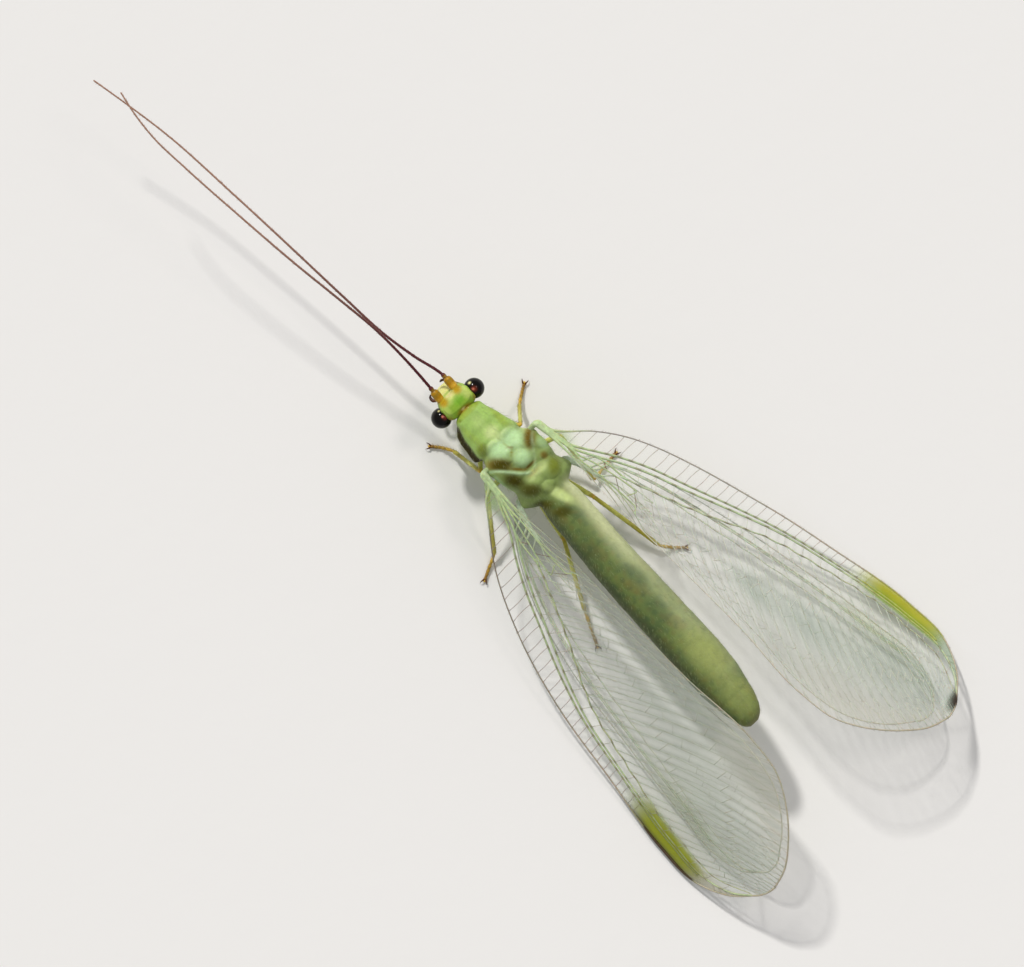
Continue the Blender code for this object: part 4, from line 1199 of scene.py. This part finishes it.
def leg_hairs(name, material, random):
    """Bristles along the femur, the shin and the foot."""
    pile = Pile()
    line, travel, marks = leg_line(LEGS[name])
    stations = leg_stations(name, marks)
    fine = resample(line, 600)
    reach = lengths_along(fine)
    count = LEG_HAIRS
    at = random.uniform(marks[0] + 0.2, travel[-1] - 0.05, count)
    along = between(at, reach, unit(np.gradient(fine, axis=0)))
    roots = between(at, reach, fine)
    angle = random.uniform(0, 2 * math.pi, count)
    spoke = spokes_round(along, (0.3, 0.2, 1.0), angle)
    places, radii, _ = zip(*stations)
    thick = np.interp(at, places, radii)
    roots = roots + 0.85 * thick[:, None] * spoke
    lean = unit(along + spoke * random.uniform(0.5, 1.0, count)[:, None])
    lengths = np.where(at > marks[1], 0.085, 0.10) * random.uniform(0.7, 1.2, count)
    tips = roots + lengths[:, None] * lean
    keep = np.minimum(roots[:, 2], tips[:, 2]) > 0.02
    patches = np.column_stack((at / travel[-1], angle / (2 * math.pi)))
    tint = mix(LEG_OLIVE, HAIR_DARK, 0.6)
    hair_pile(pile, roots[keep], lean[keep], lengths[keep], LEG_BRISTLE, tint, patches[keep], 0.0)
    return pile.make(name + "_hairs", material)


# Wings
class Wing:
    """Maps places on one wing to the model."""

    def __init__(self, kind, side):
        self.kind = kind
        self.side = side
        self.front = even_path(kind["costa"], 200)
        for depth, back, long in FRONT_DENTS[side]:
            self.front[:, 1] -= depth * bell(self.front[:, 0] - back, long)
        self.rear = even_path(kind["hind"], 200)

    def plan(self, u, v):
        """(backward, outward) at shares of the length, and of the width from the costal margin."""
        u = np.atleast_1d(np.asarray(u, dtype=float))
        v = np.broadcast_to(np.asarray(v, dtype=float), u.shape)
        at = np.clip(u, 0, 1) * (len(self.front) - 1)
        front, rear = (between(at, np.arange(len(margin)), margin) for margin in (self.front, self.rear))
        plan = front + (rear - front) * v[:, None]
        plan[:, 0] += TIP_BULGE * 4 * v * (1 - v) * smoothstep(0.965, 1.0, u)
        return plan

    def place(self, plan):
        """Points on the wing's middle surface."""
        back, out = np.asarray(plan).T
        turn = math.radians(WING_SPREAD[self.side])
        hinge_x = middle(HINGE_Y + 0.5)[0] + self.side * HINGE_OUT
        x = hinge_x + self.side * (out * math.cos(turn) + back * math.sin(turn))
        y = HINGE_Y + back * math.cos(turn) - out * math.sin(turn)
        camber = WING_CAMBER * (1 - ((out - CAMBER_MIDDLE) / CAMBER_SPAN) ** 2)
        z = HINGE_Z + WING_RISE * back - WING_SLOPE * out + camber - self.kind["drop"]
        z = z + WING_PLEAT * np.sin(9.0 * out + 1.3 * back) * smoothstep(0.2, 1.5, back)
        return np.column_stack((x, y, z))

    def seat(self, v):
        """Points on the thorax's side that the wing's root joins, from the hinge to the hind margin."""
        root = self.place(self.plan(np.zeros_like(v), v))
        x = middle(root[:, 1]) + self.side * SEAT_OUT
        return np.column_stack((x, root[:, 1], root[:, 2] - SEAT_DROP))

    def across(self, name, u):
        """How far from the costal margin a named vein lies, at shares of the length."""
        return curve(self.kind[name], u)[:, 0]

    def at(self, name, u):
        """The place on a named vein at one share of the length."""
        return self.plan(u, self.across(name, u))[0]

    def line(self, name, first, last, count):
        """A named vein's plan between two shares of the length."""
        u = np.linspace(first, last, count)
        return self.plan(u, self.across(name, u))

    def margin(self, t):
        """The edge from the hind margin's root at 0, past the apex at 1, and back along the costa."""
        if t <= 1.0:
            return self.plan(t, 1.0)[0]
        if t <= 1.0 + TIP_EDGE:
            return self.plan(1.0, 1 - (t - 1) / TIP_EDGE)[0]
        return self.plan(1.0 - (t - 1 - TIP_EDGE), 0.0)[0]


def membrane(name, net, material):
    """The clear sheet between the veins, closed and very thin, tinted by place."""
    wing = net.wing
    u = np.concatenate((np.zeros(ROOT_COLUMNS), np.linspace(0, 1, MEMBRANE_COLUMNS)))
    share = np.concatenate((np.linspace(1, 0, ROOT_COLUMNS, endpoint=False), np.zeros(MEMBRANE_COLUMNS)))
    v = np.linspace(0, 1, MEMBRANE_ROWS)
    uu, vv, root = np.repeat(u, len(v)), np.tile(v, len(u)), np.repeat(share, len(v))
    sheet = wing.place(wing.plan(uu, vv))
    sheet = sheet + (np.tile(wing.seat(v), (len(u), 1)) - sheet) * root[:, None]
    grid = sheet.reshape(len(u), len(v), 3)
    normal = unit(np.cross(np.gradient(grid, axis=0), np.gradient(grid, axis=1))).reshape(-1, 3)
    normal *= np.sign(normal[:, 2:3])
    half = MEMBRANE_THICKNESS / 2
    points = np.vstack((sheet + half * normal, sheet - half * normal))
    tints = membrane_tints(net, uu, vv, root)
    piece = make_piece(name, points, sheet_faces(len(u), len(v)), np.vstack((tints, tints)), material)
    face_outward(piece.data)
    return piece


def sheet_faces(columns, rows):
    """Faces of a thin closed sheet whose upper points come first."""
    shift = columns * rows
    faces = []
    for i in range(columns - 1):
        for j in range(rows - 1):
            a, b = i * rows + j, (i + 1) * rows + j
            faces.append((a, b, b + 1, a + 1))
            faces.append((shift + a, shift + a + 1, shift + b + 1, shift + b))
    rim = [i * rows for i in range(columns)]
    rim += [(columns - 1) * rows + j for j in range(1, rows)]
    rim += [i * rows + rows - 1 for i in range(columns - 2, -1, -1)]
    rim += list(range(rows - 2, 0, -1))
    for a, b in zip(rim, rim[1:] + rim[:1]):
        faces.append((a, a + shift, b + shift, b))
    return faces


def branch_bands(net, u, v):
    """How near places of the membrane are to its branches, from 0 to 1."""
    places = np.vstack(net.branches)
    tree = KDTree(len(places))
    for k, (back, out) in enumerate(places):
        tree.insert((back, out, 0.0), k)
    tree.balance()
    reach = np.array([tree.find((back, out, 0.0))[2] for back, out in net.wing.plan(u, v)])
    return bell(reach, BAND_HALF_WIDTH)


def membrane_tints(net, u, v, root):
    """Haze that deepens outward, clouds, bands along the branches, the root and the pterostigma, with some
    painted light and shade.
    """
    wing = net.wing
    # Painted light: the left wing's outer haze is whiter and denser, over the floor shadow seen through it.
    tints = mix(MEMBRANE_INNER, MEMBRANE_OUTER_HAZE_AND_LIGHT[wing.side], smoothstep(0.30, 0.75, u))
    for cloud_u, cloud_v, long, wide in MEMBRANE_CLOUDS:
        cloud = bell(u - cloud_u, long) * bell(v - cloud_v, wide)
        tints = mix(tints, MEMBRANE_CLOUD, CLOUD_STRENGTH[wing.side] * cloud)
    beige = smoothstep(0.62, 0.85, v) * smoothstep(0.55, 0.8, u)
    tints = mix(tints, MEMBRANE_BEIGE, 0.7 * beige)
    bands = BAND_STRENGTH[wing.side] * (1 - 0.6 * wing.kind["fade"]) * branch_bands(net, u, v)
    tints = mix(tints, MEMBRANE_BAND, bands * smoothstep(0.12, 0.3, u))
    tints = mix(tints, MEMBRANE_ROOT, smoothstep(0.09, 0.02, u))
    if wing.kind is FOREWING:
        tints = mix(tints, MEMBRANE_SHOULDER, smoothstep(0.09, 0.04, u) * smoothstep(0.5, 0.2, v))
    else:
        # On the left hindwing the root tint is partly painted shade: a dark sheet over the abdomen's shaded
        # side.
        tints = mix(tints, MEMBRANE_HIND_ROOT_AND_SHADE[wing.side], smoothstep(0.17, 0.04, u))
    tints = mix(tints, MEMBRANE_SEAT, smoothstep(0.0, 0.3, root))
    return stigma_tints_and_shade(wing, u, v, tints)


def stigma_tints_and_shade(wing, u, v, tints):
    first, last = wing.kind["stigma"]
    radius = wing.across("radius", u)
    inside = smoothstep(first - 0.05, first + 0.045, u) * smoothstep(last + 0.10, last - 0.02, u)
    edge = STIGMA_EDGE[wing.side]
    inside = inside * smoothstep(radius + edge + 0.02, radius + 0.4 * edge, v) * wing.kind["stain"]
    pigment = mix(STIGMA_YELLOW, STIGMA_GREEN, smoothstep(0.35, 0.95, v / radius))
    # Painted shade: the left pterostigma turns brown towards the costal margin.
    if wing.side > 0:
        pigment = mix(STIGMA_OLIVE, STIGMA_SHADE_BROWN, smoothstep(0.40, 0.0, v / radius))
    pigment = mix(pigment, STIGMA_END[wing.side], smoothstep(last - 0.04, last + 0.04, u))
    tints = mix(tints, pigment, inside)
    strip = smoothstep(last, last + 0.05, u) * smoothstep(1.0, 0.97, u) * smoothstep(0.12, 0.07, v)
    tints = mix(tints, STIGMA_END[wing.side], strip * wing.kind["stain"])
    # Painted contact shadow: the right forewing's apex is darkened brown.
    if wing.kind is FOREWING and wing.side < 0:
        tints = mix(tints, TIP_CONTACT_SHADOW, bell(u - 1.0, 0.034, 4) * bell(v - 0.05, 0.60, 4))
    return tints


class Network:
    """Veins of one wing: tubes that stand out on both faces of the membrane."""

    def __init__(self, wing):
        self.wing = wing
        self.pile = Pile()
        self.plans = []
        self.branches = []
        first, last = wing.kind["stigma"]
        u = np.linspace(first + 0.01, last - 0.01, 16)
        self.stigma = wing.place(wing.plan(u, 0.5 * wing.across("radius", u)))
        self.apex = wing.place(wing.plan(1.0, np.array((0.0,))))

    def tube(self, path, radii, tints, sides):
        points, faces = tube(path, np.asarray(radii) * self.wing.kind["thickness"], sides)
        self.pile.add(points, faces, ring_tints(self.stain_and_shade(path, tints), sides))

    def stain_and_shade(self, path, tints):
        """Vein colours faded on the hindwing, pigmented in the pterostigma, and darkened by a painted contact
        shadow at the right forewing's apex.
        """
        kind, side = self.wing.kind, self.wing.side
        tints = mix(tints, VEIN_FADED, kind["fade"])
        reach = np.linalg.norm(path[:, None, :] - self.stigma[None, :, :], axis=2).min(axis=1)
        tints = mix(tints, STIGMA_VEIN[side], 0.8 * kind["stain"] * bell(reach, 0.30, 4))
        # Painted contact shadow on the veins at the right forewing's apex.
        if kind is FOREWING and side < 0:
            reach = np.linalg.norm(path - self.apex, axis=1)
            tints = mix(tints, TIP_CONTACT_SHADOW, bell(reach, 0.24, 4))
        return tints

    def paled(self, tint):
        """The colour of a branch vein, which is fainter on the right wings."""
        return mix(tint, VEIN_FADED, WING_FADE[self.wing.side])

    def toned(self, tint):
        """The colour of a main vein, which is a little fainter on the right wings."""
        return mix(tint, VEIN_FADED, 0.5 * WING_FADE[self.wing.side])

    def lay(self, plan, radii, tints, sides=6, spots=None, reach=0.07):
        """A vein along a plan, with brown spots where other veins join it."""
        share = np.linspace(0, 1, len(plan))
        path = self.wing.place(plan)
        self.plans.append(plan)
        shades = self.spotted(path, mix(tints[0], tints[1], share), spots, reach)
        self.tube(path, radii[0] + (radii[1] - radii[0]) * share, shades, sides)

    def stem(self, plan, lane, leave, radii, tints, spots=None, reach=0.07):
        """A main vein that leaves the wing's common trunk in its lane, thick and pale at the root."""
        trunk = even_path(self.wing.kind["trunk"], 60)
        trunk = trunk[lengths_along(trunk) <= leave] + np.array((0.0, lane))
        keep = (plan[:, 0] > trunk[-1, 0] + 0.30) & (np.linalg.norm(plan - trunk[-1], axis=1) > 0.5)
        seat = self.wing.seat(np.array((0.0,)))
        route = np.vstack((seat, self.wing.place(trunk), self.wing.place(plan[keep])))
        route = even_path(route, 190)
        travel = lengths_along(route)
        share = travel / travel[-1]
        radii = radii[0] + (radii[1] - radii[0]) * share + STRAP_RADIUS * bell(travel, STRAP_LENGTH)
        shades = self.spotted(route, mix(tints[0], tints[1], share), spots, reach)
        shades = mix(VEIN_ROOT, shades, smoothstep(0.5, 3.0, travel))
        self.plans.append(plan[keep])
        self.tube(route, radii, shades, 8)

    def spotted(self, path, shades, spots, reach):
        if spots is None:
            return shades
        marks = self.wing.place(spots)
        distance = np.min(np.linalg.norm(path[:, None, :] - marks[None, :, :], axis=2), axis=1)
        return mix(shades, VEIN_BROWN, 0.8 * bell(distance, reach))

    def cross(self, start, end, radius, tint, bow=0.0):
        """A short vein between two plan places."""
        start, end = np.array(start), np.array(end)
        share = np.linspace(0, 1, 5)[:, None]
        side = np.array((-(end - start)[1], (end - start)[0]))
        plan = start + (end - start) * share + bow * side * share * (1 - share) * 4
        self.tube(self.wing.place(plan), radius, np.broadcast_to(tint, (5, 4)), 5)


def front_at(wing, back, v=None):
    """The place at one distance back, on the costal margin or on the vein behind it."""
    u = np.linspace(0, 1, 400)
    across = np.zeros_like(u) if v is None else wing.across("radius", u) * SUBCOSTA_SHARE
    plan = wing.plan(u, across)
    return np.array((back, np.interp(back, plan[:, 0], plan[:, 1])))


def front_veins(net):
    """Margin, subcosta, radius and its sector, with the cross veins between them."""
    wing, kind = net.wing, net.wing.kind
    stigma = kind["stigma"]
    first_back = kind["costa"][0][0] + 0.65
    last_back = wing.plan(stigma[0] + 0.01, 0.0)[0, 0]
    backs = first_back + (last_back - first_back) * np.linspace(0, 1, kind["costal_cells"]) ** 0.95
    joins = [front_at(wing, back, "subcosta") for back in backs]
    for n, (back, join) in enumerate(zip(backs, joins)):
        bow = 0.04 * math.sin(3.3 * n)
        net.cross(front_at(wing, back + 0.03), join, CROSS_RADIUS, net.toned(VEIN_CROSS), bow)
    edge = VEIN_EDGE[wing.side]
    costa = np.array([wing.margin(t) for t in np.linspace(1 + TIP_EDGE + 0.96, 1.0, 180)])
    hind = np.array([wing.margin(t) for t in np.linspace(1.0, 0.03, 150)])
    net.lay(costa, (0.018, 0.026), (edge, VEIN_TIP))
    net.lay(hind, (0.026, 0.006), (VEIN_TIP, VEIN_HIND[wing.side]))
    net.stem(costa[:80], 0.05, 0.25, (0.016, 0.018), (edge, edge))
    # Painted shade: a dark tube along the costal margin of the left pterostigma.
    if kind is FOREWING and wing.side > 0:
        rim = wing.plan(np.linspace(0.725, 0.885, 60), 0.0)
        swell = 0.012 + 0.032 * np.sin(np.linspace(0, math.pi, 60)) ** 0.7
        points, faces = tube(wing.place(rim), swell, 8)
        net.pile.add(points, faces, STIGMA_RIM_SHADE)
    crossings = np.linspace(kind["sector_start"] + 0.11, 0.92, kind["radial_cells"])
    upper = [wing.at("radius", u) for u in crossings]
    lower = [wing.at("sector", u + 0.004) for u in crossings]
    for start, end in zip(upper, lower):
        net.cross(start, end, CROSS_RADIUS, net.paled(VEIN_GREY))
    u = np.linspace(0.0, stigma[1], 160)
    subcosta = wing.plan(u, wing.across("radius", u) * SUBCOSTA_SHARE)
    tints = (VEIN_PALE, net.toned(VEIN_GREEN))
    net.stem(subcosta, 0.03, 0.60, (0.032, 0.026), tints, joins)
    net.stem(wing.line("radius", 0, 0.985, 170), 0.01, 0.75, (0.034, 0.024), tints, upper)
    start = kind["sector_start"]
    leave = np.linspace(start, start + 0.09, 8)
    share = smoothstep(start, start + 0.09, leave)
    across = wing.across("radius", leave) * (1 - share) + wing.across("sector", leave) * share
    net.lay(wing.plan(leave, across), (0.026, 0.026), (VEIN_PALE, VEIN_GREEN))
    for u in np.linspace(stigma[1] + 0.03, 0.965, 6):
        net.cross(wing.at("radius", u), wing.plan(min(u + 0.02, 1.0), 0.0)[0], CROSS_RADIUS, VEIN_GREY)
    return lower


def branch_point(ends, s):
    """A place on a branch, from its start at 0 to the margin at 1."""
    top, control, bottom = ends
    return (1 - s) ** 2 * top + 2 * s * (1 - s) * control + s * s * bottom


def sector_branches(net, dashes):
    """The sector, its slanting branches, the two stepped rows across them and their forks at the margin."""
    wing, kind = net.wing, net.wing.kind
    first, last, count = kind["branches"]
    roots = np.linspace(first, last, count)
    reach = curve(kind["branch_ends"], roots)[:, 0]
    start = kind["sector_start"] + 0.09
    sector = [wing.at("sector", start)]
    joints = []
    for k, (u, t) in enumerate(zip(roots, reach)):
        top = wing.plan(u, wing.across("sector", u) + 0.004 * (-1) ** k)[0]
        bottom = wing.margin(t)
        long = np.linalg.norm(bottom - top)
        ends = (top, (top + bottom) / 2 + long * np.array(BRANCH_BOW), bottom)
        sector.append(top)
        fork = 0.83 + 0.03 * math.sin(2.3 * k)
        line = np.array([branch_point(ends, s) for s in np.linspace(0, fork, 16)])
        net.lay(line, (0.011, 0.008), (net.paled(VEIN_BRANCH), net.paled(VEIN_GREY)), 5)
        net.branches.append(resample(np.vstack((line, bottom)), 60))
        spread = 0.33 * (reach[min(k + 1, count - 1)] - reach[max(k - 1, 0)]) / 2
        for sign in (-1, 1):
            net.cross(line[-1], wing.margin(t + sign * spread), 0.008, net.paled(VEIN_GREY), 0.08 * sign)
        rows = (0.36 - 0.06 * u, 0.66 - 0.04 * u)
        shifts = (-BRANCH_STEP, BRANCH_STEP)
        joints.append([branch_point(ends, row + shift) for row in rows for shift in shifts])
    sector.append(wing.at("sector", 0.975))
    tints = (net.toned(VEIN_GREEN), net.toned(VEIN_OLIVE))
    net.lay(even_path(sector, 150), (0.030, 0.013), tints, 6, dashes, 0.09)
    for before, after in zip(joints, joints[1:]):
        net.cross(before[1], after[0], CROSS_RADIUS, net.paled(VEIN_GREY))
        net.cross(before[3], after[2], CROSS_RADIUS, net.paled(VEIN_GREY))
    return joints[0]


def hind_veins(net, joints):
    """Media, cubitus and the anal veins, which fan out from the root to the hind margin."""
    wing = net.wing
    media = np.vstack((wing.line("media", 0, 0.2, 40), joints[0]))
    cubitus = np.vstack((wing.line("cubitus", 0, 0.2, 40), joints[2]))
    net.stem(media, -0.02, 1.0, (0.028, 0.016), (VEIN_PALE, VEIN_GREEN))
    net.stem(cubitus, -0.045, 1.2, (0.028, 0.016), (VEIN_PALE, VEIN_GREEN))
    for k, route in enumerate(ANAL_VEINS):
        u = np.linspace(0, route[-1][0], 24)
        plan = wing.plan(u, curve(route, u)[:, 0])
        net.stem(plan, -0.065, 0.5 - 0.2 * k, (0.020, 0.012), (VEIN_PALE, VEIN_GREY))
    for route in HIND_BRANCHES:
        u = np.linspace(route[0][0], route[-1][0], 12)
        net.lay(wing.plan(u, curve(route, u)[:, 0]), (0.016, 0.010), (VEIN_GREEN, VEIN_GREY), 5)
    for u, upper, lower in ROOT_CROSSINGS:
        net.cross(wing.at(upper, u), wing.at(lower, u + 0.01), 0.011, VEIN_BROWN)
    for u, low in ((0.125, 0.78), (0.165, 0.86)):
        net.cross(wing.at("cubitus", u), wing.plan(u + 0.008, low)[0], CROSS_RADIUS, VEIN_GREY)


def vein_network(wing):
    net = Network(wing)
    dashes = front_veins(net)
    hind_veins(net, sector_branches(net, dashes))
    return net


def wing_hairs(name, net, count, material, random):
    """Fine bristles along the veins and a fringe round the margin."""
    pile = Pile()
    weights = np.array([lengths_along(plan)[-1] for plan in net.plans])
    weights[:2] *= 2.0
    chosen = random.choice(len(net.plans), count, p=weights / weights.sum())
    heart = net.wing.place(net.wing.plan(0.5, 0.5))[0]
    roots, leans, patches = [], [], []
    for pick in chosen:
        plan = net.plans[pick]
        k = random.integers(0, len(plan) - 1)
        ends = net.wing.place(plan[k:k + 2])
        along = unit(ends[1] - ends[0])
        along *= 1.0 if along[1] > 0 else -1.0
        side = unit(np.cross(along, np.array((0.0, 0.0, 1.0))))
        angle = random.uniform(-0.5, 0.5) if pick < 2 else random.uniform(0, 2 * math.pi)
        outward = np.sign(np.dot(side, ends[0] - heart)) if pick < 2 else 1.0
        spoke = math.cos(angle) * side * outward + math.sin(angle) * np.cross(side, along)
        roots.append(ends[0] + (ends[1] - ends[0]) * random.uniform() + 0.008 * spoke)
        leans.append(unit(0.7 * along + spoke))
        patches.append((plan[k, 0] / 15.0, (plan[k, 1] + 1.0) / 5.0))
    lengths = random.uniform(0.05, 0.09, count)
    roots, leans = np.array(roots), np.array(leans)
    keep = roots[:, 2] + lengths * np.minimum(leans[:, 2], 0) > 0.02
    patches = np.array(patches)[keep]
    hair_pile(pile, roots[keep], leans[keep], lengths[keep], FINE_HAIR, VEIN_BROWN, patches, 0.0)
    return pile.make(name, material)


# Stage, light and camera
def floor():
    mesh = bpy.data.meshes.new("floor")
    corners = [(x * FLOOR_REACH, y * FLOOR_REACH, 0) for x, y in ((-1, -1), (1, -1), (1, 1), (-1, 1))]
    mesh.from_pydata(corners, [], [(0, 1, 2, 3)])
    mesh.materials.append(floor_material())
    piece = add_object("floor", mesh)


def add_sun(name, right, up, elevation, strength, angle, colour):
    """A far light from a direction given along the picture's right and up."""
    flat = right * np.array(IMAGE_RIGHT) + up * np.array(IMAGE_UP)
    flat = flat / np.linalg.norm(flat)
    towards = np.array((*(math.cos(math.radians(elevation)) * flat[:2]), math.sin(math.radians(elevation))))
    data = bpy.data.lights.new(name, "SUN")
    data.energy = strength
    data.angle = math.radians(angle)
    data.color = colour
    x = unit(np.cross((0.0, 1.0, 0.1), towards))
    turn_and_place(add_object(name, data), x, np.cross(towards, x), towards, LIGHT_DISTANCE * towards)


def turn_and_place(item, x, y, z, place):
    """Turns an object's axes to the given directions and sets it down, in metres."""
    columns = np.column_stack((x, y, z, place))
    item.matrix_world = Matrix(np.vstack((columns, (0, 0, 0, 1))).tolist())


def light():
    add_sun("key", -0.43, 0.90, 42, 2.15, 4.5, (1.0, 0.98, 0.95))
    add_sun("side", 0.8, 0.5, 60, 0.45, 12, (1.0, 0.9, 0.85))
    world = bpy.data.worlds.new("studio")
    world.use_nodes = True
    sky = world.node_tree.nodes["Background"]
    sky.inputs["Color"].default_value = (0.95, 0.97, 1.0, 1.0)
    sky.inputs["Strength"].default_value = 0.45
    bpy.context.scene.world = world
    bpy.context.scene.view_settings.view_transform = "Standard"


def camera():
    data = bpy.data.cameras.new("camera")
    data.sensor_width = SENSOR_WIDTH
    data.lens = SENSOR_WIDTH * CAMERA_DISTANCE / VIEW_WIDTH
    data.clip_start = 0.01
    data.clip_end = 5.0
    item = add_object("camera", data)
    place = (np.array((*VIEW_CENTRE, VIEW_HEIGHT + CAMERA_DISTANCE)) - ORIGIN) * MM
    turn_and_place(item, IMAGE_RIGHT, IMAGE_UP, (0, 0, 1), place)
    bpy.context.scene.camera = item


def settle(piece, slot_name, *nodes):
    """The piece rides on the body and stands for its nodes, whose solids are hidden. slot_name is not used.
    """
    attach(piece, "root")
    if nodes:
        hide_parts(*nodes)


def build():
    random = np.random.default_rng(RANDOM_SEED)
    cuticle = cuticle_material()
    limb = limb_material()
    hair = hair_material()
    vein = vein_material()
    clear = membrane_material()
    settle(body_skin(cuticle), "body_green", "head", "prothorax", "thorax", "abdomen")
    settle(body_hairs(hair, random), "body_green")
    settle(mouthparts(limb), "leg_olive")
    eyes = eye_material()
    for name in EYE_CENTRES:
        settle(eye(name, eyes), "eye_bronze", name)
    for name in ANTENNA_ROUTES:
        settle(antenna(name, limb), "antenna_brown", name)
        settle(antenna_hairs(name, hair, random), "antenna_brown")
    for name in LEGS:
        settle(leg(name, limb), "leg_olive", name)
        settle(claws(name, limb), "leg_olive")
        settle(leg_hairs(name, hair, random), "leg_olive")
    for side, label in ((1, "left"), (-1, "right")):
        for kind, part in ((FOREWING, "forewing_"), (HINDWING, "hindwing_")):
            wing = Wing(kind, side)
            net = vein_network(wing)
            settle(membrane(part + label + "_membrane", net, clear), "wing_clear", part + label)
            settle(net.pile.make(part + label + "_veins", vein), "wing_clear")
            settle(wing_hairs(part + label + "_hairs", net, WING_HAIRS, hair, random), "wing_clear")


build()
floor()
light()
camera()
